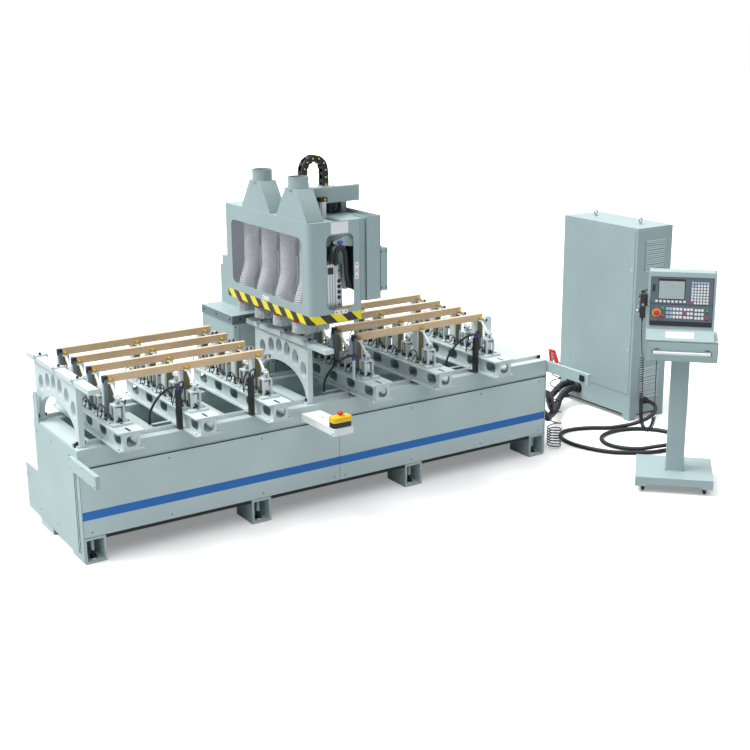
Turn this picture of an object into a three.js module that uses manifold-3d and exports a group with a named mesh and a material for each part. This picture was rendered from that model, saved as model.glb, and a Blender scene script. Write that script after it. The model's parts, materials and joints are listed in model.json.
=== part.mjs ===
// A CNC woodworking machining centre with its electrical cabinet and operator console.
// Lengths are millimetres. X runs along the bed, Y goes away from the operator, Z is up.
// While the pieces are made, x and y are counted from the bed's left front corner and z from the floor.
import * as THREE from 'three';
import { ConvexGeometry } from 'three/addons/geometries/ConvexGeometry.js';
import { mergeVertices } from 'three/addons/utils/BufferGeometryUtils.js';
import Module from 'manifold-3d';

const wasm = await Module();
wasm.setup();

// Clearances shared by all pieces
const gap = 0.3;
const overrun = 6;
const millimetre = 1;

// The bed: two long beams on feet, tied by cross members, closed by sheet covers
const bedLength = 3460;
const bedDepth = 750;
const bedTop = 700;
const bedFrontBeamDepth = 112;
const bedRearBeamDepth = 104;
const bedBeamTall = 104;
const bedWallThick = 14;
const bedSkirtBottom = 160;
const bedSkirtInset = 9;
const crossMemberWide = 96;
const crossMemberTall = 64;
const crossMemberDrop = 36;
const crossMemberShares = [0.14, 0.278, 0.45, 0.625, 0.77];
const endPlateWide = 128;
const endPlateThick = 10;
const trayHeight = 300;
const trayThick = 6;
const railWide = 24;
const railTall = 21.7;
const frontRailY = 70;
const rearRailInsetY = 52;
const rearRailY = bedDepth - rearRailInsetY;
const footWide = 132;
const footDepth = 216;
const footWall = 13;
const footTall = 158;
const footShares = [0, 0.329, 0.677, 1];
const levellingBoltRadius = 11;

// Sheet covers of the bed
const coverThick = 6;
const frontPanelBottom = 162;
const frontPanelTop = 576;
const frontPanelThick = 5;
const frontPanelJoint = 4;
const frontPanelSplitShare = 0.503;
const endCoverBottom = 14;
const endCoverArch = 44;
const endCoverArchStart = 150;
const endCoverStepHeight = 358;
const endCoverPastBed = 200;
const endCoverBack = bedDepth + endCoverPastBed;
const endCoverTopInset = 38;
const endCoverTopY = bedDepth - endCoverTopInset;
const endCoverRiseTop = 886;
const endCoverRiseDepth = 74;
const endCoverRiseRadius = 40;

// Rear base with the column's guide rails
const rearBaseLeft = 200;
const rearBaseRightInset = 140;
const rearBaseRight = bedLength - rearBaseRightInset;
const rearBaseDepth = 540;
const rearBaseBack = bedDepth + rearBaseDepth;
const rearBaseWall = 12;
const rearBaseTop = 420;
const rearRailWide = 34;
const rearRailTall = 26;
const rearRailInset = 84;

// Stop arches across the bed, with a flat bar on top and pinned bosses
const archThick = 34;
const archFront = 32;
const archBackInset = 28;
const archBack = bedDepth - archBackInset;
const archTop = 1073;
const archOpeningFront = 62;
const archLegDepth = 30;
const archOpeningBack = archBack - archLegDepth;
const archOpeningTop = 906;
const archHoleWide = 76;
const archHoleTall = 104;
const archHoleShares = [0.046, 0.205, 0.374, 0.538, 0.7, 0.886];
const archHoleHeights = [914, 970, 996, 1000, 984, 948];
const archBarWide = 62;
const archBarThick = 30;
const archBarFront = -204;
const archBarPastBed = 66;
const archBarBack = bedDepth + archBarPastBed;
const archBossShares = [0.235, 0.53, 0.84];
const archBossWide = 92;
const archBossArm = 22;
const archBossTall = 8;
const archPinRadius = 8;
const archPinTall = 22;
const leftArchX = 30;
const middleArchShare = 0.44335;
const middleArchX = bedLength * middleArchShare;

// Support beams across the bed, each with four clamp stands
const beamFront = -235;
const beamPastBed = 108;
const beamBack = bedDepth + beamPastBed;
const beamWebWide = 100;
const beamFlangeWide = 156;
const beamFlangeThick = 10;
const beamBottom = 722;
const beamTop = 835;
const beamWall = 7;
const beamFrontHole = 34;
const beamWindowLong = 104;
const beamWindowTall = 62;
const beamWindowStart = 88;
const beamWindowPitch = 214;
const beamWindowCount = 5;

// Workpieces: four blanks on the left beams and four on the right
const blankDepth = 28;
const blankTall = 45;
const blankTop = 1100;
const firstBlankY = 54;
const lastBlankPastBed = 30;
const pitchesOfBlanks = 3;
const blankPitch = (bedDepth + lastBlankPastBed - firstBlankY) / pitchesOfBlanks;
const leftBlankShare = 0.0653;
const rightBlankShare = 0.5503;
const leftBlankX = bedLength * leftBlankShare;
const rightBlankX = bedLength * rightBlankShare;
const blankLong = 1006;

// The outer beams stand a little inside the ends of the blanks, and the middle one halfway
const leftBeamIn = 12;
const leftBeamShort = 44;
const rightBeamIn = 14;
const rightBeamShort = 20;
const leftBeamX = leftBlankX + leftBeamIn;
const rightBeamX = rightBlankX + rightBeamIn;
const leftBeamPitch = (blankLong - leftBeamIn - leftBeamShort) / 2;
const rightBeamPitch = (blankLong - rightBeamIn - rightBeamShort) / 2;

// Clamp stand: slotted foot, four-post cage round a cylinder, clevis, and a seat with a fence behind it
const standFootWide = 128;
const standFootThick = 12;
const standFootFront = 168;
const standFootBack = 52;
const cageCentreBack = 100;
const pivotBack = 110;
const cageHalf = 33;
const cagePost = 9;
const cageTop = 950;
const cagePlate = 10;
const clampCylinderHalf = 22;
const clevisWide = 34;
const clevisSlot = 14.6;
const clevisDeep = 22;
const clevisTall = 42;
const pivotDrop = 12;
const pivotRadius = 6;
const pivotSides = 12;
const pivotPlay = 0.5;
const leverWide = 14;
const leverDeep = 13;
const leverEyeRadius = 10.6;
const leverHeadWide = 24;
const leverHeadTall = 12;
const padRadius = 13;
const padBackRadius = 8;
const padRise = 9.4;
const padTall = 26;
const seatWide = 62;
const seatFront = 12;
const seatBack = 44;
const fenceTop = 1086;
const leverLift = 82;

// Cable duct posts, end stops and sensor units carried by the beams
const ductWide = 28;
const ductDeep = 34;
const ductBottom = 728;
const ductTop = 962;
const ductY = -52;
const stopPostWide = 26;
const stopPostDeep = 22;
const stopBlockLong = 30;
const stopBlockTall = 38;
const sensorArmTall = 14;
const sensorLong = 56;
const sensorTall = 24;
const sensorStandOff = 10;

// Operator stop bracket at the front of the bed
const bracketX = 1458;
const bracketWide = 138;
const bracketReach = 398;
const bracketTop = 663;
const bracketTall = 45;
const bracketSheet = 5;
const bracketFlangeTall = 63;
const stopBoxWide = 130;
const stopBoxDeep = 66;
const stopBoxTall = 66;
const stopBoxInset = 8;
const stopHeadRadius = 19;
const stopHeadTall = 15;
const stopStemRadius = 9;
const stopRimShare = 0.6;
const stopCrownShare = 0.7;
const stopCollarRadius = 14;
const stopCollarTall = 6;
const stopTravel = 5;

// Side arms at the bed's ends and the air gun hanging on the right one
const armThick = 24;
const armTall = 76;
const armReach = 430;
const leftArmReach = 330;
const armRoot = 78;
const leftArmTop = 650;
const rightArmTop = 690;
const switchWide = 44;
const switchTall = 40;
const switchThick = 8;
const switchFromEnd = 36;
const gunWide = 22;
const gunBarrelRadius = 13;
const gunBarrelLong = 78;
const gunBarrelHeight = 762;
const gunHandleDeep = 28;
const gunHandleTall = 76;
const gunHandleLean = 40;
const gunHangerTall = 48;
const gunLeverDeep = 16;
const gunLeverTall = 136;
const gunLeverLean = 10;
const gunY = -26;
const gunNozzleRadius = 4;
const gunNozzleLong = 240;

// Travelling column behind the bed
const columnLeft = 1445;
const columnRight = 2010;
const columnPastBed = 120;
const columnPastBase = 40;
const columnFront = bedDepth + columnPastBed;
const columnBack = rearBaseBack + columnPastBase;
const saddleTop = 1117;
const saddleBand = 57;
const saddleBandOut = 4;
const columnWallSheet = 16;
const pillarLeft = 1600;
const pillarRight = 1936;
const pillarSetBack = 88;
const pillarFront = columnFront + pillarSetBack;
const pillarTop = 1330;
const slideTall = 54;
const slideWide = 40;

// Head frame: the ram that carries the hood and the spindles
const ramLeft = 1722;
const ramRight = 1934;
const ramFront = -104;
const ramPastBase = 10;
const ramBack = rearBaseBack + ramPastBase;
const ramTop = 1860;
const ramBottom = 1440;
const ramTopBack = 1760;
const ramWall = 12;
const ramRailTall = 34;
const headShoeDeep = 126;
const headShoePastBase = 8;
const headShoeBack = rearBaseBack + headShoePastBase;
const headShoeFront = headShoeBack - headShoeDeep;
const headPostWide = 46;
const headPostFront = 196;
const headPostBack = 306;
const balanceCylinderX = 1676;
const balanceCylinderY = 62;
const balanceCylinderRadius = 23;
const balanceCylinderBottom = 1762;
const balanceCylinderTop = 1964;
const balanceCapRadius = 26;
const balanceCapTall = 22;

// Hood round the spindles
const hoodLeft = 1445;
const hoodRight = 1809;
const hoodFront = -163;
const hoodBack = 911;
const hoodBottom = 1256;
const hoodTop = 1874;
const hoodSheet = 4;
const hoodCorner = 34;
const hoodRoofRight = 1622;
const hoodWindowFront = -74;
const hoodWindowBack = 838;
const hoodWindowBottom = 1362;
const hoodWindowTop = 1775;
const hoodWindowRadius = 42;
const frontWindowLeft = 1566;
const frontWindowRight = 1757;
const frontWindowBottom = 1334;
const frontWindowTop = 1792;
const frontWindowRadius = 36;
const sideCoverLeft = 1846;
const sideCoverRight = 1952;
const sideCoverBottom = 1364;
const sideCoverTop = 1882;
const sideCoverStep = 12;
const sideCoverBack = 700;
const sideBoxRight = 2006;
const sideBoxBottom = 1410;
const sideBoxTop = 1676;
const sideBoxDeep = 250;

// Dust hoppers on the hood
const hopperLeft = 1448;
const hopperRight = 1563;
const hopperCentres = [46, 499];
const hopperHalf = 184;
const hopperTop = 2060;
const hopperSkirt = 10;
const hopperNeckHalfShare = 0.36;
const spigotX = 1502;
const spigotRadius = 62;
const spigotTop = 2128;
const spigotWall = 3;
const spigotSides = 12;

// Extraction hoses, floor plate with brush skirts, and spindles under them
const hoseTopX = 1560;
const hoseBottomX = 1514;
const hoseRadius = 50;
const hoseRib = 4;
const hoseWall = 3;
const hoseRibs = 12;
const hoseRingPoints = 8;
const hoseBoreRibs = 5;
const floorPlateThick = 6;
const hoseHoleRadius = 42;
const spindleHoleRadius = 54;
const skirtLeft = 1512;
const skirtRight = 1640;
const skirtRadius = 60;
const skirtWall = 9;
const skirtRingTall = 18;
const bristleLong = 78;
const bristleThick = 2.6;
const bristlesPerSkirt = 54;
const bristleRoot = 1.2;
const spindleX = 1640;
const spindleHalf = 42;
const spindleBottom = 1350;
const spindleTop = 1598;
const spindleNoseRadius = 34;
const spindleNoseTall = 60;
const spindleMotorRadius = 28;
const spindleMotorTop = 1690;
const carriageLeft = 1688;
const carriageFront = -34;
const carriageBack = 868;
const carriageBottom = 1360;
const carriageTop = 1690;
const chuckRadius = 20;
const chuckTall = 40;
const chuckNutRadius = 26;
const chuckNutTall = 18;
const toolRadius = 6;
const toolLong = 42;

// Lift drive: belt cover with its hanging motor
const beltCoverLeft = 1624;
const beltCoverRight = 1996;
const beltCoverFront = 120;
const beltCoverDeep = 222;
const beltCoverBottom = 1938;
const beltCoverTop = 2038;
const beltCoverChamfer = 22;
const beltCoverCurve = 206;
const driveMotorX = 1838;
const driveMotorY = 244;
const driveMotorRadius = 61;
const driveMotorBottom = 1866;
const driveMotorPlug = 24;

// Cable carrier standing in a loop on the head
const carrierY = 124;
const carrierWide = 56;
const carrierLeftX = 1594;
const carrierRightX = 1742;
const carrierThick = 44;
const carrierArcZ = 2144;
const carrierLinks = 9;
const carrierNotch = 3;

// Electrical cabinet
const cabinetLeft = 4494;
const cabinetRight = 4852;
const cabinetFront = 208;
const cabinetBack = 1026;
const cabinetTop = 1500;
const cabinetFloor = 46;
const cabinetLegWide = 62;
const cabinetSheet = 3;
const doorInset = 22;
const doorBottom = 210;
const doorThick = 18;
const doorSheetIn = 15;
const grilleLeft = 4580;
const grilleRight = 4784;
const grilleTall = 230;
const grilleThick = 5;
const grilleBottoms = [172, 1168];
const grilleSlats = 6;
const grilleFrame = 12;
const eyeRadius = 20;
const eyeThick = 5;
const eyeInset = 162;
const eyeFootTall = 14;
const eyeFootRadius = 10;
const glandRadius = 36;
const glandLong = 26;
const hoseGlandPlaces = [
  [883, 148],
  [800, 132],
];
const bedGlandPlaces = [
  [150, 396],
  [150, 270],
];
const floorGlandX = 4640;
const floorGlandZ = 150;
const floorGlandRadius = 24;

// Operator console, in its own frame: u to the right, v to the back, w up
const consoleX = 3458;
const consoleY = -920;
const consoleTurn = -Math.PI / 4;
const baseWide = 502;
const baseDeep = 455;
const baseBottom = 45;
const baseTop = 110;
const baseCutHeight = 14;
const baseCutInset = 74;
const baseSheet = 3;
const casterRadius = 18;
const casterWide = 16;
const casterInset = 52;
const casterForkWide = 24;
const casterForkDeep = 25;
const consolePostWide = 116;
const consolePostLeft = 195;
const consolePostFront = 158;
const shelfLeft = 22;
const shelfWide = 452;
const shelfFront = 0;
const shelfDeep = 292;
const drawerBottom = 909;
const drawerTop = 1036;
const drawerSheet = 3;
const drawerBoxShare = 0.72;
const handleLong = 384;
const handleOut = 32;
const handleThick = 9;
const handleHeight = 962;
const shelfTop = 1043;
const housingLeft = 20;
const housingWide = 424;
const housingBottomFront = 58;
const housingBottom = 1102;
const housingTopFront = 108;
const housingTop = 1466;
const housingBack = 214;
const housingWall = 6;
const cableHoleRadius = 24;
const panelWide = 390;
const panelTall = 312;
const panelThick = 5;
const panelInsetShare = 0.42;
const keyRaise = 2;
const screenInset = 2;
const screenShares = { left: 0.13, right: 0.545, low: 0.555, high: 0.93 };
const keyShares = { left: 0.66, right: 0.9, low: 0.5, high: 0.93 };
const consoleStopShares = [0.108, 0.265];
const consoleStopRadius = 19;
const consoleStopCrown = 15;
const consoleStopTall = 14;
const consoleStopBoreDeep = 26;
const pendantWide = 74;
const pendantTall = 166;
const pendantDeep = 38;
const pendantBottom = 1166;
const pendantFront = 60;
const pendantDialRadius = 27;
const pendantDialTall = 8;
const pendantHook = 9;
const pendantHookDeep = 18;
const pendantHookShares = [0.4, 0.9];
const pendantTabShares = [0.5, 0.7];
const pendantDialShare = 0.34;
const pendantKnobRadius = 9;
const pendantKnobShare = 0.86;

// Soft lines: their radii and counts
const bigHoseRadius = 27;
const floorCableRadius = 15;
const cordSides = 8;
const cordStepShare = 3.3;
const springHoseRadius = 4;
const springHoseTurns = 12;
const springHoseSteps = 8;
const springHoseSides = 5;
const springHoseTopRadius = 34;
const springHoseBottomRadius = 50;
const springHoseX = 3618;
const springHoseY = 76;
const springHoseTop = 600;
const springHosePile = 150;
const springHoseFloor = 10;
const springHoseLeadY = 56;
const springHoseLeadZ = 644;
const springHosePileShare = 0.56;
const pendantCordRadius = 2.6;
const pendantCurlRadius = 11;
const pendantCurls = 20;
const pendantCurlSteps = 8;
const curlSwellSteps = 6;
const curlRunShares = [0.17, 0.72];
const cordHeadShares = [0, 0.03, 0.08, 0.13];
const cordTailShares = [0.75, 0.79, 0.84, 0.89, 0.94, 1];

// Finishes, by the colours in the photograph
const finish = {
  sheet: { color: 0xa9bdbe, roughness: 0.45, metalness: 0.1 },
  frame: { color: 0x9fb4b5, roughness: 0.5, metalness: 0.1 },
  pale: { color: 0xd7e4e6, roughness: 0.45, metalness: 0.1 },
  dark: { color: 0x23272b, roughness: 0.6, metalness: 0.1 },
  black: { color: 0x15171a, roughness: 0.5, metalness: 0.0 },
  steel: { color: 0xa7adb0, roughness: 0.3, metalness: 0.9 },
  wood: { color: 0xc9a877, roughness: 0.7, metalness: 0.0 },
  red: { color: 0xc2231c, roughness: 0.4, metalness: 0.0 },
  yellow: { color: 0xe6bd1a, roughness: 0.45, metalness: 0.0 },
  hose: { color: 0xdfe4e4, roughness: 0.5, metalness: 0.0 },
  brush: { color: 0xb9c2c4, roughness: 0.7, metalness: 0.0 },
  clear: { color: 0xe4eded, roughness: 0.1, metalness: 0.0 },
  white: { color: 0xeef1f1, roughness: 0.45, metalness: 0.0 },
};

const machine = new THREE.Group();
const consoleGroup = new THREE.Group();
consoleGroup.position.set(consoleX, consoleY, 0);
consoleGroup.rotation.z = consoleTurn;
machine.add(consoleGroup);

// Basic solids. Faces meant to be flush get exactly the same number, so each point is set by its own rule.

function placed(geometry, rule) {
  const spots = geometry.attributes.position;
  for (let i = 0; i < spots.count; i += 1) {
    spots.setXYZ(i, ...rule(spots.getX(i), spots.getY(i), spots.getZ(i)));
  }
  return geometry;
}

function block(x0, x1, y0, y1, z0, z1) {
  const box = new THREE.BoxGeometry();
  return placed(box, (u, v, w) => [u < 0 ? x0 : x1, v < 0 ? y0 : y1, w < 0 ? z0 : z1]);
}

function rodZ(x, y, z0, z1, radius, sides = 12, topRadius = radius) {
  const rod = new THREE.CylinderGeometry(topRadius, radius, 1, sides);
  return placed(rod, (u, v, w) => [x + u, y - w, v < 0 ? z0 : z1]);
}

function rodX(y, z, x0, x1, radius, sides = 12) {
  const rod = new THREE.CylinderGeometry(radius, radius, 1, sides);
  return placed(rod, (u, v, w) => [v > 0 ? x0 : x1, y + u, z + w]);
}

function rodY(x, z, y0, y1, radius, sides = 12, backRadius = radius) {
  const rod = new THREE.CylinderGeometry(backRadius, radius, 1, sides);
  return placed(rod, (u, v, w) => [x + u, v < 0 ? y0 : y1, z + w]);
}

function outline(points) {
  return new THREE.Shape(points.map(([u, v]) => new THREE.Vector2(u, v)));
}

function roundedOutline(u0, u1, v0, v1, radius) {
  const shape = new THREE.Shape();
  shape.moveTo(u0 + radius, v0);
  shape.lineTo(u1 - radius, v0);
  shape.absarc(u1 - radius, v0 + radius, radius, -Math.PI / 2, 0);
  shape.lineTo(u1, v1 - radius);
  shape.absarc(u1 - radius, v1 - radius, radius, 0, Math.PI / 2);
  shape.lineTo(u0 + radius, v1);
  shape.absarc(u0 + radius, v1 - radius, radius, Math.PI / 2, Math.PI);
  shape.lineTo(u0, v0 + radius);
  shape.absarc(u0 + radius, v0 + radius, radius, Math.PI, 1.5 * Math.PI);
  return shape;
}

function slab(shape, curveSegments) {
  return new THREE.ExtrudeGeometry(shape, { depth: 1, bevelEnabled: false, curveSegments });
}

// A YZ outline pushed along X
function slabX(shape, x0, x1, curveSegments = 4) {
  return placed(slab(shape, curveSegments), (u, v, w) => [w > 0 ? x1 : x0, u, v]);
}

// An XZ outline pushed along Y
function slabY(shape, y0, y1, curveSegments = 4) {
  return placed(slab(shape, curveSegments), (u, v, w) => [u, w > 0 ? y0 : y1, v]);
}

// An XY outline pushed along Z
function slabZ(shape, z0, z1, curveSegments = 4) {
  return placed(slab(shape, curveSegments), (u, v, w) => [u, v, w > 0 ? z1 : z0]);
}

// Booleans

function solid(shape) {
  if (!shape.isBufferGeometry) {
    return shape;
  }
  const plain = shape.clone();
  plain.deleteAttribute('normal');
  plain.deleteAttribute('uv');
  const merged = mergeVertices(plain);
  const mesh = new wasm.Mesh({
    numProp: 3,
    vertProperties: Float32Array.from(merged.attributes.position.array),
    triVerts: Uint32Array.from(merged.index.array),
  });
  return new wasm.Manifold(mesh);
}

function join(...shapes) {
  return shapes.map(solid).reduce((whole, next) => whole.add(next));
}

function carve(shape, ...tools) {
  return tools.map(solid).reduce((whole, tool) => whole.subtract(tool), solid(shape));
}

function geometryOf(shape) {
  if (shape.isBufferGeometry) {
    return shape;
  }
  const mesh = shape.getMesh();
  const geometry = new THREE.BufferGeometry();
  geometry.setAttribute('position', new THREE.BufferAttribute(mesh.vertProperties, mesh.numProp));
  geometry.setIndex(new THREE.BufferAttribute(mesh.triVerts, 1));
  return geometry.toNonIndexed();
}

function piece(name, shape, look, group = machine) {
  const geometry = geometryOf(shape);
  geometry.computeVertexNormals();
  const mesh = new THREE.Mesh(geometry, new THREE.MeshStandardMaterial(look));
  mesh.name = name;
  group.add(mesh);
  return mesh;
}

// Bed

function bedFoot(centreX) {
  const left = centreX - footWide / 2;
  const right = centreX + footWide / 2;
  const body = block(left, right, 0, footDepth, 0, footTall);
  const hollow = block(left + footWall, right - footWall, -overrun, footDepth - footWall, footWall,
    footTall - footWall);
  const bolt = rodZ(centreX, footDepth / 4, footWall / 2, footTall - footWall / 2, levellingBoltRadius, 6);
  const neck = block(left, right, bedSkirtInset, footDepth, footTall - millimetre,
    bedSkirtBottom + footWall);
  return join(carve(body, hollow), bolt, neck);
}

function bedFrame() {
  const left = coverThick + gap;
  const right = bedLength - coverThick - gap;
  const beamBottomZ = bedTop - bedBeamTall;
  const parts = [
    block(left, right, 0, bedFrontBeamDepth, beamBottomZ, bedTop),
    block(left, right, bedDepth - bedRearBeamDepth, bedDepth, beamBottomZ, bedTop),
    block(left, right, bedSkirtInset, bedSkirtInset + bedWallThick, bedSkirtBottom,
      bedTop - bedBeamTall / 2),
    block(left, right, bedDepth - bedWallThick, bedDepth, bedSkirtBottom, bedTop - bedBeamTall / 2),
    block(left, right, bedSkirtInset, bedDepth, trayHeight, trayHeight + trayThick),
    block(left, left + bedWallThick, bedSkirtInset, bedDepth, bedSkirtBottom, bedTop - bedBeamTall / 2),
    block(right - bedWallThick, right, bedSkirtInset, bedDepth, bedSkirtBottom, bedTop - bedBeamTall / 2),
    block(left, left + endPlateWide, bedFrontBeamDepth / 2, bedDepth - bedRearBeamDepth / 2,
      bedTop - endPlateThick, bedTop),
    block(right - endPlateWide / 2, right, bedFrontBeamDepth / 2, bedDepth - bedRearBeamDepth / 2,
      bedTop - endPlateThick, bedTop),
    block(left, right, frontRailY, frontRailY + railWide, bedTop - endPlateThick, bedTop + railTall),
    block(left, right, rearRailY, rearRailY + railWide, bedTop - endPlateThick, bedTop + railTall),
  ];
  for (const share of crossMemberShares) {
    const x = share * bedLength;
    const top = bedTop - crossMemberDrop;
    parts.push(block(x, x + crossMemberWide, bedSkirtInset * 2, bedDepth - bedSkirtInset,
      top - crossMemberTall, top));
  }
  for (const share of footShares) {
    const x = THREE.MathUtils.lerp(left + footWide / 2, right - footWide / 2, share);
    parts.push(bedFoot(x));
    parts.push(block(x - footWide / 2, x + footWide / 2, bedDepth - footDepth, bedDepth, 0,
      bedSkirtBottom + footWall));
  }
  piece('bed_frame', join(...parts), finish.frame);
}

function endCover(x0) {
  const corner = endCoverTopY - endCoverRiseRadius;
  const shape = new THREE.Shape();
  shape.moveTo(0, endCoverBottom);
  shape.lineTo(endCoverArchStart, endCoverBottom);
  shape.lineTo(endCoverArchStart + endCoverArch, endCoverArch);
  shape.lineTo(endCoverBack, endCoverArch + endCoverBottom);
  shape.lineTo(endCoverBack, endCoverStepHeight);
  shape.lineTo(endCoverTopY, endCoverStepHeight);
  shape.lineTo(endCoverTopY, endCoverRiseTop - endCoverRiseRadius);
  shape.absarc(corner, endCoverRiseTop - endCoverRiseRadius, endCoverRiseRadius, 0, Math.PI / 2);
  shape.lineTo(endCoverTopY - endCoverRiseDepth, endCoverRiseTop);
  shape.lineTo(endCoverTopY - endCoverRiseDepth, bedTop - coverThick);
  shape.lineTo(0, bedTop - coverThick);
  return slabX(shape, x0, x0 + coverThick);
}

// Each end cover carries a side arm; the right one has a switch on its inner side
function endCovers() {
  const leftArm = block(-armThick, millimetre, -leftArmReach, armRoot, leftArmTop - armTall, leftArmTop);
  piece('left_end_cover', join(endCover(0), leftArm), finish.sheet);
  const start = bedLength - millimetre;
  const switchY = -armReach + switchFromEnd;
  const middle = rightArmTop - armTall / 2;
  const rightArm = join(
    block(start, bedLength + armThick, -armReach, armRoot, rightArmTop - armTall, rightArmTop),
    block(bedLength - switchThick, bedLength, switchY, switchY + switchWide, middle - switchTall / 2,
      middle + switchTall / 2),
  );
  piece('right_end_cover', join(endCover(bedLength - coverThick), rightArm), finish.sheet);
}

function frontPanels() {
  const split = frontPanelSplitShare * bedLength;
  const back = bedSkirtInset - gap;
  const left = coverThick + gap;
  const right = bedLength - coverThick - gap;
  const panel = (x0, x1) => block(x0, x1, back - frontPanelThick, back, frontPanelBottom, frontPanelTop);
  piece('front_panel_left', panel(left, split - frontPanelJoint / 2), finish.sheet);
  piece('front_panel_right', panel(split + frontPanelJoint / 2, right), finish.sheet);
}

function rearBase() {
  const front = bedDepth + gap;
  const body = block(rearBaseLeft, rearBaseRight, front, rearBaseBack, 0, rearBaseTop);
  const inside = block(rearBaseLeft + rearBaseWall, rearBaseRight - rearBaseWall, front + rearBaseWall,
    rearBaseBack - rearBaseWall, -overrun, rearBaseTop - rearBaseWall);
  const rail = (y) => block(rearBaseLeft, rearBaseRight, y, y + rearRailWide, rearBaseTop - overrun,
    rearBaseTop + rearRailTall);
  const frontRail = rail(columnFront + rearRailInset / 2);
  const backRail = rail(rearBaseBack - rearRailInset);
  piece('rear_base', join(carve(body, inside), frontRail, backRail), finish.frame);
}

// Stop arches

function stopArch(name, x) {
  const shape = new THREE.Shape();
  const foot = bedTop + railTall + gap;
  const middle = (archOpeningFront + archOpeningBack) / 2;
  const half = (archOpeningBack - archOpeningFront) / 2;
  shape.moveTo(archFront, foot);
  shape.lineTo(archOpeningFront, foot);
  shape.absellipse(middle, foot, half, archOpeningTop - foot, Math.PI, 0, true);
  shape.lineTo(archBack, foot);
  shape.lineTo(archBack, archTop);
  shape.lineTo(archFront, archTop);
  archHoleShares.forEach((share, i) => {
    const hole = new THREE.Path();
    const y = THREE.MathUtils.lerp(archOpeningFront, archOpeningBack, share);
    hole.absellipse(y, archHoleHeights[i], archHoleWide / 2, archHoleTall / 2, 0, 2 * Math.PI);
    shape.holes.push(hole);
  });
  const parts = [
    slabX(shape, x, x + archThick, 4),
    block(x + (archThick - archBarWide) / 2, x + (archThick + archBarWide) / 2, archBarFront, archBarBack,
      archTop - overrun, archTop + archBarThick),
  ];
  const top = archTop + archBarThick;
  for (const share of archBossShares) {
    const y = archBarFront + share * (archBarBack - archBarFront);
    const centre = x + archThick / 2;
    const long = archBossWide / 2;
    const short = archBossArm / 2;
    parts.push(block(centre - long, centre + long, y - short, y + short, top - archBossTall,
      top + archBossTall));
    parts.push(rodZ(centre, y, top, top + archPinTall, archPinRadius, 8));
  }
  const foots = [archFront, archBack - archBossWide / 2];
  for (const y of foots) {
    parts.push(block(x, x + archThick, y, y + archBossWide / 2, bedTop + gap, foot + archBossTall));
  }
  piece(name, carve(join(...parts), railCut(x, frontRailY), railCut(x, rearRailY)), finish.sheet);
}

function railCut(x, y) {
  return block(x - overrun, x + archThick + overrun, y - gap, y + railWide + gap, bedTop - overrun,
    bedTop + railTall + gap);
}

// Support beams with their clamp stands

function beamBody(x) {
  const half = beamWebWide / 2;
  const flange = beamFlangeWide / 2;
  const webBottom = beamBottom + beamFlangeThick;
  const webTop = beamTop - beamFlangeThick;
  const whole = join(
    block(x - half, x + half, beamFront, beamBack, beamBottom, beamTop),
    block(x - flange, x + flange, beamFront, beamBack, beamBottom, webBottom),
    block(x - flange, x + flange, beamFront, beamBack, webTop, beamTop),
  );
  const inside = block(x - half + beamWall, x + half - beamWall, beamFront + beamWall, beamBack + overrun,
    webBottom, webTop);
  const frontHole = rodY(x, (beamBottom + beamTop) / 2, beamFront - overrun, beamFront + beamWall + overrun,
    beamFrontHole, 10);
  const tools = [inside, frontHole];
  const middle = (beamBottom + beamTop) / 2;
  for (let i = 0; i < beamWindowCount; i += 1) {
    const y = beamFront + beamWindowStart + i * beamWindowPitch;
    tools.push(block(x - half - overrun, x + half + overrun, y - beamWindowLong / 2, y + beamWindowLong / 2,
      middle - beamWindowTall / 2, middle + beamWindowTall / 2));
  }
  return carve(whole, ...tools);
}

const blankY = (row) => firstBlankY + row * blankPitch;
const pivotZ = cageTop + clevisTall - pivotDrop;
const pivotY = (row) => blankY(row) - pivotBack;
const leverHeadY = (row) => blankY(row) - blankDepth / 2 - padRadius;
const leverHeadZ = pivotZ + leverLift;

function clampStand(x, row) {
  const y = blankY(row);
  const cageY = y - cageCentreBack;
  const hinge = pivotY(row);
  const footTop = beamTop + standFootThick;
  const parts = [
    block(x - standFootWide / 2, x + standFootWide / 2, y - standFootFront, y + standFootBack,
      beamTop - millimetre,
      footTop),
  ];
  parts.push(slabY(outline([
    [x - cageHalf, footTop - millimetre],
    [x - cageHalf + cagePost, footTop - millimetre],
    [x - cageHalf + cagePost, cageTop - cagePlate],
    [x + cageHalf - cagePost, cageTop - cagePlate],
    [x + cageHalf - cagePost, footTop - millimetre],
    [x + cageHalf, footTop - millimetre],
    [x + cageHalf, cageTop],
    [x - cageHalf, cageTop],
  ]), cageY - cageHalf, cageY + cageHalf));
  const barrel = clampCylinderHalf;
  parts.push(block(x - barrel, x + barrel, cageY - barrel, cageY + barrel, footTop - millimetre,
    cageTop - cagePlate / 2));
  const clevis = block(x - clevisWide / 2, x + clevisWide / 2, hinge - clevisDeep / 2,
    hinge + clevisDeep / 2,
    cageTop - millimetre, cageTop + clevisTall);
  if (row === 0) {
    const slot = block(x - clevisSlot / 2, x + clevisSlot / 2, hinge - clevisDeep, hinge + clevisDeep,
      cageTop,
      cageTop + clevisTall + overrun);
    parts.push(carve(clevis, slot));
    parts.push(rodX(hinge, pivotZ, x - clevisWide / 2 - cagePost, x + clevisWide / 2 + cagePost,
      pivotRadius, pivotSides));
  } else {
    parts.push(clevis);
  }
  const seatTop = blankTop - blankTall - gap;
  parts.push(slabX(outline([
    [y - seatFront, footTop - millimetre],
    [y + seatBack, footTop - millimetre],
    [y + seatBack, fenceTop],
    [y + blankDepth / 2 + gap, fenceTop],
    [y + blankDepth / 2 + gap, seatTop],
    [y - seatFront, seatTop],
  ]), x - seatWide / 2, x + seatWide / 2));
  return join(...parts);
}

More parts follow.
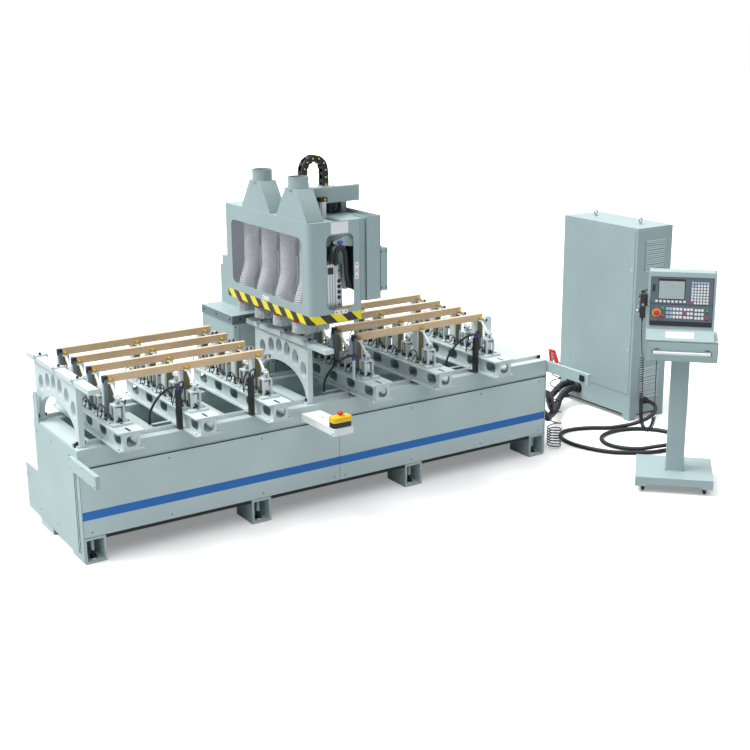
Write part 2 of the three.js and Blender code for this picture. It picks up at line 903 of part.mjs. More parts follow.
// The swing lever with its cross head and pad; a bored eye turns on the stand's pivot
function clampLever(x, row, bored) {
  const y0 = pivotY(row);
  const y1 = leverHeadY(row);
  const half = leverWide / 2;
  const deep = leverDeep / 2;
  const arm = slabX(outline([
    [y0 - deep, pivotZ],
    [y0 + deep, pivotZ],
    [y1 + deep, leverHeadZ],
    [y1 - deep, leverHeadZ],
  ]), x - half, x + half);
  const head = block(x - leverHeadWide / 2, x + leverHeadWide / 2, y1 - deep, y1 + deep,
    leverHeadZ - leverHeadTall, leverHeadZ);
  const padBack = blankY(row) - blankDepth / 2 - gap;
  const padZ = leverHeadZ + padRise;
  const pad = rodY(x, padZ, padBack - padTall, padBack, padBackRadius, 6, padRadius);
  const whole = join(arm, head, pad);
  if (!bored) {
    return whole;
  }
  const eye = rodX(y0, pivotZ, x - half, x + half, leverEyeRadius, pivotSides);
  const bore = rodX(y0, pivotZ, x - half - overrun, x + half + overrun, pivotRadius + pivotPlay,
    pivotSides);
  return carve(join(whole, eye), bore);
}

function endStop(x, row) {
  const y = blankY(row);
  const top = blankTop - blankTall / 2;
  const blockRight = x - gap;
  return join(
    block(blockRight - stopPostWide, blockRight - gap, y - stopPostDeep, y, beamTop - millimetre, top),
    block(blockRight - stopBlockLong, blockRight, y - stopPostDeep, y + stopPostDeep / 2,
      top - stopBlockTall / 2, top + stopBlockTall / 2),
  );
}

function sensorUnit(beamX, x, row) {
  const y = blankY(row) + seatBack / 2;
  const z = blankTop - blankTall - sensorTall;
  const start = x + sensorStandOff;
  return join(
    block(beamX, start + sensorLong, y, y + sensorArmTall, z - sensorArmTall, z),
    block(start, start + sensorLong, y - sensorTall, y + sensorArmTall, z - millimetre, z + sensorTall),
  );
}

function ductPost(x) {
  const right = x - beamFlangeWide / 2;
  return join(
    block(right - ductWide, right, ductY, ductY + ductDeep, ductBottom, ductTop),
    block(right - ductWide, right + ductWide, ductY, ductY + ductDeep, beamTop - overrun,
      beamTop + overrun),
  );
}

function supportBeam(number, x, extras) {
  const parts = [beamBody(x)];
  for (let row = 0; row < 4; row += 1) {
    parts.push(clampStand(x, row));
    if (row > 0) {
      parts.push(clampLever(x, row, false));
    }
    if (extras.stopAt) {
      parts.push(endStop(extras.stopAt, row));
    }
    if (extras.sensorAt) {
      parts.push(sensorUnit(x, extras.sensorAt, row));
    }
  }
  if (extras.duct) {
    parts.push(ductPost(x));
  }
  piece(`support_beam_${number}`, join(...parts), finish.pale);
  piece(`clamp_lever_${number}`, clampLever(x, 0, true), finish.white);
}

function supportBeams() {
  for (let i = 0; i < 3; i += 1) {
    supportBeam(i + 1, leftBeamX + i * leftBeamPitch, {
      stopAt: i === 0 ? leftBlankX : 0,
      sensorAt: i === 2 ? leftBlankX + blankLong : 0,
      duct: i > 0,
    });
    supportBeam(i + 4, rightBeamX + i * rightBeamPitch, {
      stopAt: i === 0 ? rightBlankX : 0,
      sensorAt: i === 2 ? rightBlankX + blankLong : 0,
      duct: i > 0,
    });
  }
}

function workpieces() {
  const starts = [leftBlankX, rightBlankX];
  starts.forEach((x, side) => {
    for (let row = 0; row < 4; row += 1) {
      const y = blankY(row);
      const blank = block(x, x + blankLong, y - blankDepth / 2, y + blankDepth / 2, blankTop - blankTall,
        blankTop);
      piece(`workpiece_${side * 4 + row + 1}`, blank, finish.wood);
    }
  });
}

// Front stop bracket and its mushroom button

const stopBoxX = bracketX + bracketWide / 2;
const stopBoxY = -bracketReach + stopBoxInset + stopBoxDeep / 2;

function stopBracket() {
  const arm = carve(
    block(bracketX, bracketX + bracketWide, -bracketReach, -gap, bracketTop - bracketTall, bracketTop),
    block(bracketX + bracketSheet, bracketX + bracketWide - bracketSheet, -bracketReach + bracketSheet,
      overrun, bracketTop - bracketTall - overrun, bracketTop - bracketSheet),
  );
  const box = block(stopBoxX - stopBoxWide / 2, stopBoxX + stopBoxWide / 2, stopBoxY - stopBoxDeep / 2,
    stopBoxY + stopBoxDeep / 2, bracketTop - millimetre, bracketTop + stopBoxTall);
  const flange = block(bracketX, bracketX + bracketWide, -bracketSheet, -gap,
    bracketTop - bracketFlangeTall,
    bracketTop);
  const collar = rodZ(stopBoxX, stopBoxY, bracketTop + stopBoxTall - millimetre,
    bracketTop + stopBoxTall + stopCollarTall, stopCollarRadius, 12);
  const bore = rodZ(stopBoxX, stopBoxY, bracketTop + stopBoxTall / 2, bracketTop + stopBoxTall * 2,
    stopStemRadius + gap, 12);
  piece('stop_bracket', carve(join(arm, flange, box, collar), bore), finish.yellow);
}

function mushroom(x, y, z0, radius, stem, tall) {
  return join(
    rodZ(x, y, z0 - stem, z0 + tall / 2, stopStemRadius, 12),
    rodZ(x, y, z0, z0 + tall * stopRimShare, radius, 12),
    rodZ(x, y, z0 + tall * stopRimShare - millimetre / 2, z0 + tall, radius, 12, radius * stopCrownShare),
  );
}

function bedStopButton() {
  const z0 = bracketTop + stopBoxTall + stopCollarTall + stopTravel + gap;
  piece('bed_stop_button', mushroom(stopBoxX, stopBoxY, z0, stopHeadRadius, stopTravel + stopCollarTall * 2,
    stopHeadTall), finish.red);
}

// Air gun hanging on the right arm

function airGun() {
  const x0 = bedLength + armThick + gap;
  const x1 = x0 + gunWide;
  const middle = (x0 + x1) / 2;
  const top = gunBarrelHeight;
  const barrelY = gunY + gunBarrelLong / 2;
  const back = gunY - gunHandleLean;
  const front = gunY + gunHandleDeep;
  const handle = slabX(outline([
    [gunY - gunBarrelRadius, top],
    [back - gunBarrelRadius, top - gunHandleTall],
    [back - gunBarrelRadius + gunHandleDeep, top - gunHandleTall],
    [front - gunBarrelRadius, top],
  ]), x0 + millimetre, x1);
  const barrel = rodY(middle, top, gunY - gunBarrelRadius, barrelY, gunBarrelRadius, 10);
  const nozzle = rodY(middle, top + gunNozzleRadius, barrelY - millimetre, barrelY + gunNozzleLong,
    gunNozzleRadius, 8);
  const lever = slabX(outline([
    [front, top + millimetre],
    [front - gunLeverLean, top - gunLeverTall],
    [front - gunLeverLean + gunLeverDeep / 2, top - gunLeverTall],
    [front + gunLeverDeep, top + millimetre],
  ]), middle - gunWide / 4, middle + gunWide / 4);
  const hanger = block(x0, x0 + gunWide / 4, gunY - gunHandleDeep / 2, gunY + gunBarrelRadius / 2,
    rightArmTop - gunHangerTall, top - gunBarrelRadius / 2);
  piece('air_gun', join(handle, barrel, nozzle, lever, hanger), finish.red);
}

// Column

function column() {
  const saddleBottom = rearBaseTop + rearRailTall + gap;
  const left = columnLeft;
  const parts = [
    block(left, columnRight, columnFront, columnBack, saddleBottom, saddleTop),
    block(left - saddleBandOut, columnRight, columnFront - saddleBandOut, columnBack,
      saddleTop - saddleBand, saddleTop),
    block(pillarLeft, pillarRight, pillarFront, columnBack, saddleTop - millimetre, pillarTop),
  ];
  for (const x of [pillarLeft, pillarRight - slideWide]) {
    parts.push(block(x, x + slideWide, pillarFront, columnBack, pillarTop - millimetre,
      pillarTop + slideTall));
  }
  const hollow = block(left + columnWallSheet, columnRight - columnWallSheet, columnFront + columnWallSheet,
    columnBack - columnWallSheet, saddleBottom - overrun, saddleTop - saddleBand);
  const pillarHollow = block(pillarLeft + columnWallSheet, pillarRight - columnWallSheet,
    pillarFront + columnWallSheet,
    columnBack - columnWallSheet, saddleTop - saddleBand - overrun, pillarTop - columnWallSheet);
  piece('column', carve(join(...parts), hollow, pillarHollow), finish.sheet);
}

// Head frame

function headFrame() {
  const railTop = pillarTop + slideTall + gap;
  const shoeTop = railTop + ramRailTall;
  const front = ramFront;
  const profile = outline([
    [front, ramTop],
    [front, ramBottom],
    [pillarFront - slideWide, ramBottom],
    [pillarFront - slideWide, railTop + ramRailTall],
    [ramBack, railTop + ramRailTall],
    [ramBack, ramTopBack],
    [hoodBack - slideWide, ramTop],
  ]);
  const parts = [slabX(profile, ramLeft, ramRight)];
  parts.push(block(pillarLeft, pillarRight, headShoeFront, headShoeBack, shoeTop - millimetre,
    shoeTop + ramRailTall));
  for (const x of [pillarLeft, pillarRight - slideWide]) {
    parts.push(block(x, x + slideWide, headShoeFront, headShoeBack, railTop, shoeTop));
  }
  const postTop = beltCoverBottom - gap;
  parts.push(block(ramLeft, ramLeft + headPostWide, headPostFront, headPostBack, ramTop - overrun,
    postTop));
  parts.push(block(ramRight - slideWide, ramRight, headPostFront, headPostBack, ramTop - overrun, postTop));
  parts.push(rodZ(balanceCylinderX, balanceCylinderY, balanceCylinderBottom, balanceCylinderTop,
    balanceCylinderRadius, 12));
  parts.push(rodZ(balanceCylinderX, balanceCylinderY, balanceCylinderTop - millimetre,
    balanceCylinderTop + balanceCapTall, balanceCapRadius, 12));
  parts.push(block(balanceCylinderX, ramLeft + overrun, balanceCylinderY - slideWide / 2,
    balanceCylinderY + slideWide / 2, ramTop - slideTall, ramTop - slideTall / 3));
  const hollow = block(ramLeft + ramWall, ramRight - ramWall, front - overrun, ramBack - ramWall * 3,
    ramBottom + ramWall, ramTopBack - ramWall);
  const motorPocket = rodZ(driveMotorX, driveMotorY, driveMotorBottom - overrun, beltCoverBottom + overrun,
    driveMotorRadius + overrun, 16);
  piece('head_frame', carve(join(...parts), hollow, motorPocket), finish.frame);
}

// Hood with its hoppers and side covers

function hopper(centreY, inset) {
  const neck = hopperHalf * hopperNeckHalfShare;
  const bottom = inset > 0 ? hoodTop - overrun : hoodTop - hoodSheet / 2;
  const top = inset > 0 ? spigotTop + overrun : spigotTop;
  const points = [];
  for (const x of [hopperLeft + inset, hopperRight - inset]) {
    for (const side of [-1, 1]) {
      points.push(new THREE.Vector3(x, centreY + side * (hopperHalf - inset), bottom));
      points.push(new THREE.Vector3(x, centreY + side * (hopperHalf - inset), hoodTop + hopperSkirt));
      points.push(new THREE.Vector3(x, centreY + side * (neck - inset), hopperTop - inset));
    }
  }
  const spigot = rodZ(spigotX, centreY, hopperTop - inset - overrun, top, spigotRadius - inset,
    spigotSides);
  return join(new ConvexGeometry(points), spigot);
}

function hoodOutline(inset) {
  const left = hoodLeft + inset;
  const front = hoodFront + inset;
  const radius = hoodCorner - inset;
  const shape = new THREE.Shape();
  shape.moveTo(left + radius, front);
  shape.lineTo(hoodRight - inset, front);
  shape.lineTo(hoodRight - inset, hoodBack - inset);
  shape.lineTo(left, hoodBack - inset);
  shape.lineTo(left, front + radius);
  shape.absarc(left + radius, front + radius, radius, Math.PI, 1.5 * Math.PI);
  return shape;
}

function hood() {
  const shell = slabZ(hoodOutline(0), hoodBottom, hoodTop, 4);
  const inside = slabZ(hoodOutline(hoodSheet), hoodBottom - overrun, hoodTop - hoodSheet, 4);
  const openRoof = block(hoodRoofRight, hoodRight + overrun, hoodFront + hoodSheet, hoodBack + overrun,
    hoodTop - hoodCorner, hoodTop + overrun);
  const openSide = block(hoodRight - hoodCorner, hoodRight + overrun, hoodFront + hoodSheet,
    hoodBack - hoodCorner,
    hoodBottom - overrun, hoodTop + overrun);
  const backSlot = block(pillarLeft - slideWide * 2, hoodRight + overrun, hoodBack - slideWide,
    hoodBack + overrun,
    sideCoverBottom, hoodTop + overrun);
  const leftWindow = slabX(roundedOutline(hoodWindowFront, hoodWindowBack, hoodWindowBottom, hoodWindowTop,
    hoodWindowRadius), hoodLeft - overrun, hoodLeft + hoodSheet + overrun, 3);
  const frontWindow = slabY(roundedOutline(frontWindowLeft, frontWindowRight, frontWindowBottom,
    frontWindowTop,
    frontWindowRadius), hoodFront - overrun, hoodFront + hoodSheet + overrun, 3);
  const hoppers = hopperCentres.map((y) => hopper(y, 0));
  const box = carve(join(shell, ...hoppers), inside, openRoof, openSide, backSlot, leftWindow, frontWindow);
  const bores = hopperCentres.map((y) => hopper(y, spigotWall));
  const step = hoodFront + sideCoverStep;
  const covers = [
    block(hoodRight - overrun, sideCoverLeft + overrun, step, step + hoodSheet, sideCoverBottom, hoodTop),
    block(hoodRight - overrun, hoodRight, hoodFront, step + hoodSheet, sideCoverBottom, hoodTop),
    block(sideCoverLeft, sideCoverLeft + hoodSheet, hoodFront, step + hoodSheet, sideCoverBottom, hoodTop),
    block(sideCoverLeft, sideCoverRight, hoodFront, hoodFront + hoodSheet, sideCoverBottom, sideCoverTop),
    block(sideCoverRight - hoodSheet, sideCoverRight, hoodFront, sideCoverBack, sideCoverBottom,
      sideCoverTop),
    block(sideCoverRight - overrun, sideBoxRight, hoodFront + hoodSheet, hoodFront + sideBoxDeep,
      sideBoxBottom,
      sideBoxTop),
  ];
  const shoe = block(ramRight + gap, sideCoverRight - millimetre, hoodFront + sideBoxDeep, sideCoverBack,
    sideBoxTop - slideWide, sideBoxTop);
  piece('hood', join(carve(box, ...bores), ...covers, shoe), finish.sheet);
}

function hoodWindow() {
  const pane = roundedOutline(hoodWindowFront + gap, hoodWindowBack - gap, hoodWindowBottom + gap,
    hoodWindowTop - gap, hoodWindowRadius - gap);
  piece('hood_window', slabX(pane, hoodLeft, hoodLeft + hoodSheet, 3), finish.clear);
}

// Floor plate with a brush skirt round each tool

function stadium(radius, y) {
  const shape = new THREE.Shape();
  shape.absarc(skirtLeft, y, radius, Math.PI / 2, 1.5 * Math.PI);
  shape.absarc(skirtRight, y, radius, -Math.PI / 2, Math.PI / 2);
  return shape;
}

function bristle(x, y, angle) {
  const top = hoodBottom - skirtRingTall + bristleRoot;
  const strand = new THREE.ConeGeometry(bristleThick / 2, bristleLong, 3);
  return strand.rotateX(-Math.PI / 2).rotateZ(angle).translate(x, y, top - bristleLong / 2);
}

function skirtBristles(y) {
  const radius = skirtRadius - skirtWall / 2;
  const straight = skirtRight - skirtLeft;
  const around = 2 * straight + 2 * Math.PI * radius;
  const strands = [];
  for (let i = 0; i < bristlesPerSkirt; i += 1) {
    let s = (i / bristlesPerSkirt) * around;
    let spot;
    if (s < straight) {
      spot = [skirtLeft + s, y - radius];
    } else if (s < straight + Math.PI * radius) {
      const a = (s - straight) / radius - Math.PI / 2;
      spot = [skirtRight + radius * Math.cos(a), y + radius * Math.sin(a)];
    } else if (s < 2 * straight + Math.PI * radius) {
      s -= straight + Math.PI * radius;
      spot = [skirtRight - s, y + radius];
    } else {
      const a = (s - 2 * straight - Math.PI * radius) / radius + Math.PI / 2;
      spot = [skirtLeft + radius * Math.cos(a), y + radius * Math.sin(a)];
    }
    strands.push(bristle(spot[0], spot[1], i));
  }
  return strands.map(solid).reduce((whole, next) => whole.add(next));
}

function brushSkirts() {
  const top = hoodBottom + floorPlateThick;
  const parts = [slabZ(hoodOutline(hoodSheet + gap), hoodBottom, top, 4)];
  const holes = [];
  for (let row = 0; row < 4; row += 1) {
    const y = blankY(row);
    parts.push(slabZ(stadium(skirtRadius, y), hoodBottom - skirtRingTall, top - millimetre, 3));
    parts.push(skirtBristles(y));
    holes.push(rodZ(hoseBottomX, y, hoodBottom, top + overrun, hoseHoleRadius, 10));
    holes.push(rodZ(spindleX, y, hoodBottom, top + overrun, spindleHoleRadius, 12));
    holes.push(slabZ(stadium(skirtRadius - skirtWall, y), hoodBottom - skirtRingTall - overrun,
      hoodBottom + millimetre, 3));
  }
  piece('brush_skirts', carve(join(...parts), ...holes), finish.brush);
}

// Ribbed hose swept by hand: rings along a path in the XZ plane, bore included

function hosePath(y) {
  const top = hoodTop - hoodSheet - gap;
  const bottom = hoodBottom + floorPlateThick + gap;
  const straight = hoseRadius * 2;
  return (t) => {
    const z = top + (bottom - top) * t;
    const from = top - straight;
    const to = bottom + straight;
    const part = THREE.MathUtils.clamp((from - z) / (from - to), 0, 1);
    const ease = part * part * (3 - 2 * part);
    return new THREE.Vector3(hoseTopX + (hoseBottomX - hoseTopX) * ease, y, z);
  };
}

function ribbedHose(name, y) {
  const path = hosePath(y);
  const positions = [];
  const index = [];
  const ring = (t, radius) => {
    const centre = path(t);
    const start = positions.length / 3;
    for (let k = 0; k < hoseRingPoints; k += 1) {
      const a = (k / hoseRingPoints) * 2 * Math.PI;
      positions.push(centre.x + radius * Math.cos(a), centre.y + radius * Math.sin(a), centre.z);
    }
    return start;
  };
  const band = (a, b) => {
    for (let k = 0; k < hoseRingPoints; k += 1) {
      const n = (k + 1) % hoseRingPoints;
      index.push(a + k, b + k, b + n, a + k, b + n, a + n);
    }
  };
  const rings = [];
  const last = hoseRibs * 2;
  for (let i = 0; i <= last; i += 1) {
    rings.push(ring(i / last, hoseRadius - (i % 2 === 0 ? 0 : hoseRib)));
  }
  const bore = hoseRadius - hoseRib - hoseWall;
  const inner = [];
  const boreRings = Math.ceil(hoseRibs / hoseBoreRibs) + 1;
  for (let i = 0; i <= boreRings; i += 1) {
    inner.push(ring(1 - i / boreRings, bore));
  }
  const loop = [...rings, ...inner];
  loop.forEach((start, i) => band(start, loop[(i + 1) % loop.length]));
  const geometry = new THREE.BufferGeometry();
  geometry.setAttribute('position', new THREE.Float32BufferAttribute(positions, 3));
  geometry.setIndex(index);
  piece(name, geometry.toNonIndexed(), finish.hose);
}

// Spindle carriage and chucks

function spindleCarriage() {
  const parts = [block(carriageLeft, ramLeft - gap, carriageFront, carriageBack, carriageBottom,
    carriageTop)];
  for (let row = 0; row < 4; row += 1) {
    const y = blankY(row);
    parts.push(block(spindleX - spindleHalf, carriageLeft + overrun, y - spindleHalf, y + spindleHalf,
      spindleBottom, spindleTop));
    parts.push(rodZ(spindleX, y, spindleBottom - spindleNoseTall, spindleBottom + millimetre,
      spindleNoseRadius, 8));
    parts.push(rodZ(spindleX, y, spindleTop - millimetre, spindleMotorTop, spindleMotorRadius, 8));
  }
  piece('spindle_carriage', join(...parts), finish.steel);
}

function toolChuck(row) {
  const y = blankY(row);
  const top = spindleBottom - spindleNoseTall - gap;
  const nutBottom = top - chuckTall - chuckNutTall;
  const shape = join(
    rodZ(spindleX, y, top - chuckTall, top, chuckRadius, 8),
    rodZ(spindleX, y, nutBottom, top - chuckTall + millimetre, chuckNutRadius, 8),
    rodZ(spindleX, y, nutBottom - toolLong, nutBottom + millimetre, toolRadius, 6),
  );
  piece(`tool_chuck_${row + 1}`, shape, finish.steel);
}

// Lift drive on top of the head

function liftDrive() {
  const back = beltCoverFront + beltCoverDeep;
  const shape = new THREE.Shape();
  shape.moveTo(beltCoverLeft, beltCoverFront);
  shape.lineTo(beltCoverRight - beltCoverChamfer, beltCoverFront);
  shape.lineTo(beltCoverRight, beltCoverFront + beltCoverChamfer);
  shape.lineTo(beltCoverRight, back);
  shape.lineTo(beltCoverLeft + beltCoverCurve, back);
  shape.quadraticCurveTo(beltCoverLeft + beltCoverChamfer, back - beltCoverChamfer, beltCoverLeft,
    beltCoverFront + beltCoverChamfer * 2);
  const cover = slabZ(shape, beltCoverBottom, beltCoverTop, 8);
  const motor = rodZ(driveMotorX, driveMotorY, driveMotorBottom, beltCoverBottom + millimetre,
    driveMotorRadius, 12);
  const plugZ = driveMotorBottom + driveMotorPlug;
  const plug = rodX(driveMotorY, plugZ, driveMotorX, driveMotorX + driveMotorRadius - overrun / 2,
    driveMotorPlug / 2, 8);
  piece('lift_drive', join(cover, motor, plug), finish.sheet);
}

// Cable carrier: two legs joined by a half turn of links

function cableCarrier() {
  const middle = (carrierLeftX + carrierRightX) / 2;
  const radius = (carrierRightX - carrierLeftX) / 2;
  const half = carrierThick / 2;
  const leftFoot = hoodTop + gap;
  const rightFoot = beltCoverTop + gap;
  const shape = new THREE.Shape();
  const inner = [];
  shape.moveTo(carrierLeftX - half, leftFoot);
  for (let i = 0; i <= carrierLinks; i += 1) {
    const a = Math.PI - (i / carrierLinks) * Math.PI;
    const reach = radius + half;
    shape.lineTo(middle + reach * Math.cos(a), carrierArcZ + reach * Math.sin(a));
    if (i < carrierLinks) {
      const b = a - Math.PI / carrierLinks / 2;
      const dip = (reach - carrierNotch) * Math.cos(Math.PI / carrierLinks / 2);
      shape.lineTo(middle + dip * Math.cos(b), carrierArcZ + dip * Math.sin(b));
    }
    inner.push([middle + (radius - half) * Math.cos(a), carrierArcZ + (radius - half) * Math.sin(a)]);
  }
  shape.lineTo(carrierRightX + half, rightFoot);
  shape.lineTo(carrierRightX - half, rightFoot);
  inner.reverse().forEach(([x, z]) => shape.lineTo(x, z));
  shape.lineTo(carrierLeftX + half, leftFoot);
  piece('cable_carrier', slabY(shape, carrierY, carrierY + carrierWide), finish.black);
}

// Electrical cabinet

function cabinetLeg(x0, x1, y0, y1) {
  return block(x0, x1, y0, y1, 0, cabinetFloor + overrun);
}

function liftingEye(x, y) {
  const ring = new THREE.TorusGeometry(eyeRadius - eyeThick, eyeThick, 3, 8);
  ring.rotateX(Math.PI / 2).translate(x, y, cabinetTop + eyeFootTall + eyeRadius - eyeThick);
  return join(ring, rodZ(x, y, cabinetTop - millimetre, cabinetTop + eyeFootTall, eyeFootRadius, 6));
}

function grille(z0) {
  const frame = block(grilleLeft, grilleRight, cabinetFront - grilleThick, cabinetFront + millimetre, z0,
    z0 + grilleTall);
  const pitch = (grilleTall - grilleFrame) / grilleSlats;
  const slots = [];
  for (let i = 0; i < grilleSlats; i += 1) {
    const z = z0 + grilleFrame + i * pitch;
    slots.push(block(grilleLeft + grilleFrame, grilleRight - grilleFrame,
      cabinetFront - grilleThick - overrun,
      cabinetFront - grilleThick / 2, z, z + pitch / 2));
  }
  return carve(frame, ...slots);
}

function cabinet() {
  const body = block(cabinetLeft, cabinetRight, cabinetFront, cabinetBack, cabinetFloor, cabinetTop);
  const doorHole = block(cabinetLeft - overrun, cabinetLeft + doorSheetIn, cabinetFront + doorInset,
    cabinetBack - doorInset, doorBottom, cabinetTop - doorInset);
  const insideWall = cabinetSheet + millimetre;
  const inside = block(cabinetLeft + doorSheetIn - millimetre, cabinetRight - insideWall,
    cabinetFront + insideWall,
    cabinetBack - insideWall, cabinetFloor + insideWall, cabinetTop - insideWall);
  const wide = cabinetLegWide;
  const legs = [
    cabinetLeg(cabinetLeft, cabinetLeft + wide, cabinetFront, cabinetFront + wide),
    cabinetLeg(cabinetRight - wide, cabinetRight, cabinetFront, cabinetFront + wide),
    cabinetLeg(cabinetLeft, cabinetLeft + wide, cabinetBack - wide, cabinetBack),
    cabinetLeg(cabinetRight - wide, cabinetRight, cabinetBack - wide, cabinetBack),
  ];
  const eyes = [
    liftingEye((cabinetLeft + cabinetRight) / 2, cabinetFront + eyeInset),
    liftingEye((cabinetLeft + cabinetRight) / 2, cabinetBack - eyeInset),
  ];
  const glands = hoseGlandPlaces.map(([y, z]) => rodX(y, z, cabinetLeft - glandLong,
    cabinetLeft + millimetre,
    glandRadius, 12));
  glands.push(rodY(floorGlandX, floorGlandZ, cabinetFront - glandLong, cabinetFront + millimetre,
    floorGlandRadius, 12));
  const grilles = grilleBottoms.map((z) => grille(z));
  piece('cabinet_body', join(carve(body, doorHole, inside), ...legs, ...eyes, ...glands, ...grilles),
    finish.sheet);
}

function cabinetDoor() {
  const side = doorInset + gap;
  const back = cabinetLeft + doorSheetIn - gap;
  piece('cabinet_door', block(back - doorThick, back, cabinetFront + side, cabinetBack - side,
    doorBottom + gap,
    cabinetTop - side), finish.sheet);
}

// Operator console

function consoleStand() {
  const foot = carve(
    block(0, baseWide, 0, baseDeep, baseBottom, baseTop),
    block(baseSheet, baseWide - baseSheet, baseSheet, baseDeep - baseSheet, baseBottom - overrun,
      baseTop - baseSheet),
    block(baseCutInset, baseWide - baseCutInset, -overrun, baseDeep + overrun, baseBottom - overrun,
      baseBottom + baseCutHeight),
  );
  const parts = [foot];
  for (const u of [casterInset, baseWide - casterInset]) {
    for (const v of [casterInset, baseDeep - casterInset]) {
      parts.push(block(u - casterForkWide / 2, u + casterForkWide / 2, v - casterForkDeep / 2,
        v + casterForkDeep / 2, casterRadius, baseTop - millimetre));
      parts.push(rodX(v, casterRadius, u - casterWide / 2, u + casterWide / 2, casterRadius, 10));
    }
  }
  const right = consolePostLeft + consolePostWide;
  const back = consolePostFront + consolePostWide;
  parts.push(block(consolePostLeft, right, consolePostFront, back, baseTop - millimetre,
    drawerBottom - drawerSheet - gap));
  piece('console_stand', join(...parts), finish.sheet, consoleGroup);
}

const postBack = consolePostFront + consolePostWide;
const postMiddle = consolePostLeft + consolePostWide / 2;
const housingLean = Math.atan2(housingTopFront - housingBottomFront, housingTop - housingBottom);
const housingFaceTall = Math.hypot(housingTopFront - housingBottomFront, housingTop - housingBottom);
const panelLeft = housingLeft + (housingWide - panelWide) / 2;
const panelLow = (housingFaceTall - panelTall) * panelInsetShare;

// Turns a shape made on the face (u across, depth out along minus v, height up) onto the leaning face
function ontoFace(geometry) {
  return geometry.rotateX(-housingLean).translate(0, housingBottomFront, housingBottom);
}

function consoleHousing() {
  const side = drawerSheet;
  const right = shelfLeft + shelfWide;
  const back = shelfFront + shelfDeep;
  const bottom = drawerBottom - drawerSheet;
  const tray = carve(
    block(shelfLeft, right, shelfFront, back, bottom, shelfTop),
    block(shelfLeft + side, right - side, shelfFront - overrun, back - side, drawerBottom, shelfTop - side),
  );
  const housing = slabX(outline([
    [shelfFront, shelfTop - millimetre],
    [housingBottomFront, housingBottom],
    [housingTopFront, housingTop],
    [housingBack, housingTop],
    [housingBack, shelfTop - millimetre],
  ]), housingLeft, housingLeft + housingWide);
  const hookFront = pendantFront + pendantWide;
  const hook = block(housingLeft - pendantHook, housingLeft + millimetre, hookFront,
    hookFront + pendantHookDeep, pendantBottom + pendantTall * pendantHookShares[0],
    pendantBottom + pendantTall * pendantHookShares[1]);
  const wall = housingWall;
  const inside = slabX(outline([
    [housingBottomFront + wall, housingBottom],
    [housingTopFront + wall, housingTop - wall],
    [housingBack - wall, housingTop - wall],
    [housingBack - wall, housingBottom],
  ]), housingLeft + wall, housingLeft + housingWide - wall);
  const cableHole = rodY(postMiddle, housingBottom + housingBack / 2, housingBack - wall - overrun,
    housingBack + overrun, cableHoleRadius, 12);
  piece('console_housing', carve(join(tray, housing, hook), inside, cableHole, consoleStopBore()),
    finish.sheet,
    consoleGroup);
}

function consoleStopBore() {
  const { u, s } = consoleStopPlace();
  return ontoFace(rodY(u, s, -panelThick - overrun, consoleStopBoreDeep, stopStemRadius + gap, 12));
}

function consoleStopPlace() {
  const [across, up] = consoleStopShares;
  return { u: panelLeft + panelWide * across, s: panelLow + panelTall * up };
}

function panelField(shares, out, inner) {
  return ontoFace(block(panelLeft + panelWide * shares.left, panelLeft + panelWide * shares.right, out,
    inner,
    panelLow + panelTall * shares.low, panelLow + panelTall * shares.high));
}

function controlPanel() {
  const plate = ontoFace(block(panelLeft, panelLeft + panelWide, -panelThick - gap, -gap, panelLow,
    panelLow + panelTall));
  const screen = panelField(screenShares, -panelThick - overrun, -panelThick + screenInset);
  const keys = panelField(keyShares, -panelThick - keyRaise, -gap);
  piece('control_panel', carve(join(plate, keys), screen, consoleStopBore()), finish.pale, consoleGroup);
}

function consoleDrawer() {
  const side = drawerSheet + millimetre;
  const left = shelfLeft + side;
  const right = shelfLeft + shelfWide - side;
  const bottom = drawerBottom + gap;
  const top = drawerTop - drawerSheet;
  const back = shelfFront + shelfDeep * drawerBoxShare;
  const box = carve(
    block(left, right, shelfFront - drawerSheet, back, bottom, top),
    block(left + drawerSheet, right - drawerSheet, shelfFront + drawerSheet, back - drawerSheet,
      bottom + drawerSheet, top + overrun),
  );
  const middle = (left + right) / 2;
  const bar = block(middle - handleLong / 2, middle + handleLong / 2, shelfFront - handleOut,
    shelfFront - handleOut + handleThick, handleHeight, handleHeight + handleThick);
  const foot = (u) => block(u, u + handleThick, shelfFront - handleOut, shelfFront, handleHeight,
    handleHeight + handleThick);
  piece('console_drawer', join(box, bar, foot(middle - handleLong / 2),
    foot(middle + handleLong / 2 - handleThick)),
    finish.sheet, consoleGroup);
}

function consoleStopButton() {
  const { u, s } = consoleStopPlace();
  const out = -panelThick - stopTravel - gap * 2;
  const stem = rodY(u, s, out - consoleStopTall / 2, out + stopTravel + panelThick + stopTravel,
    stopStemRadius, 12);
  const head = rodY(u, s, out - consoleStopTall, out, consoleStopCrown, 16, consoleStopRadius);
  const button = join(stem, head);
  piece('console_stop_button', ontoFace(geometryOf(button)), finish.red, consoleGroup);
}

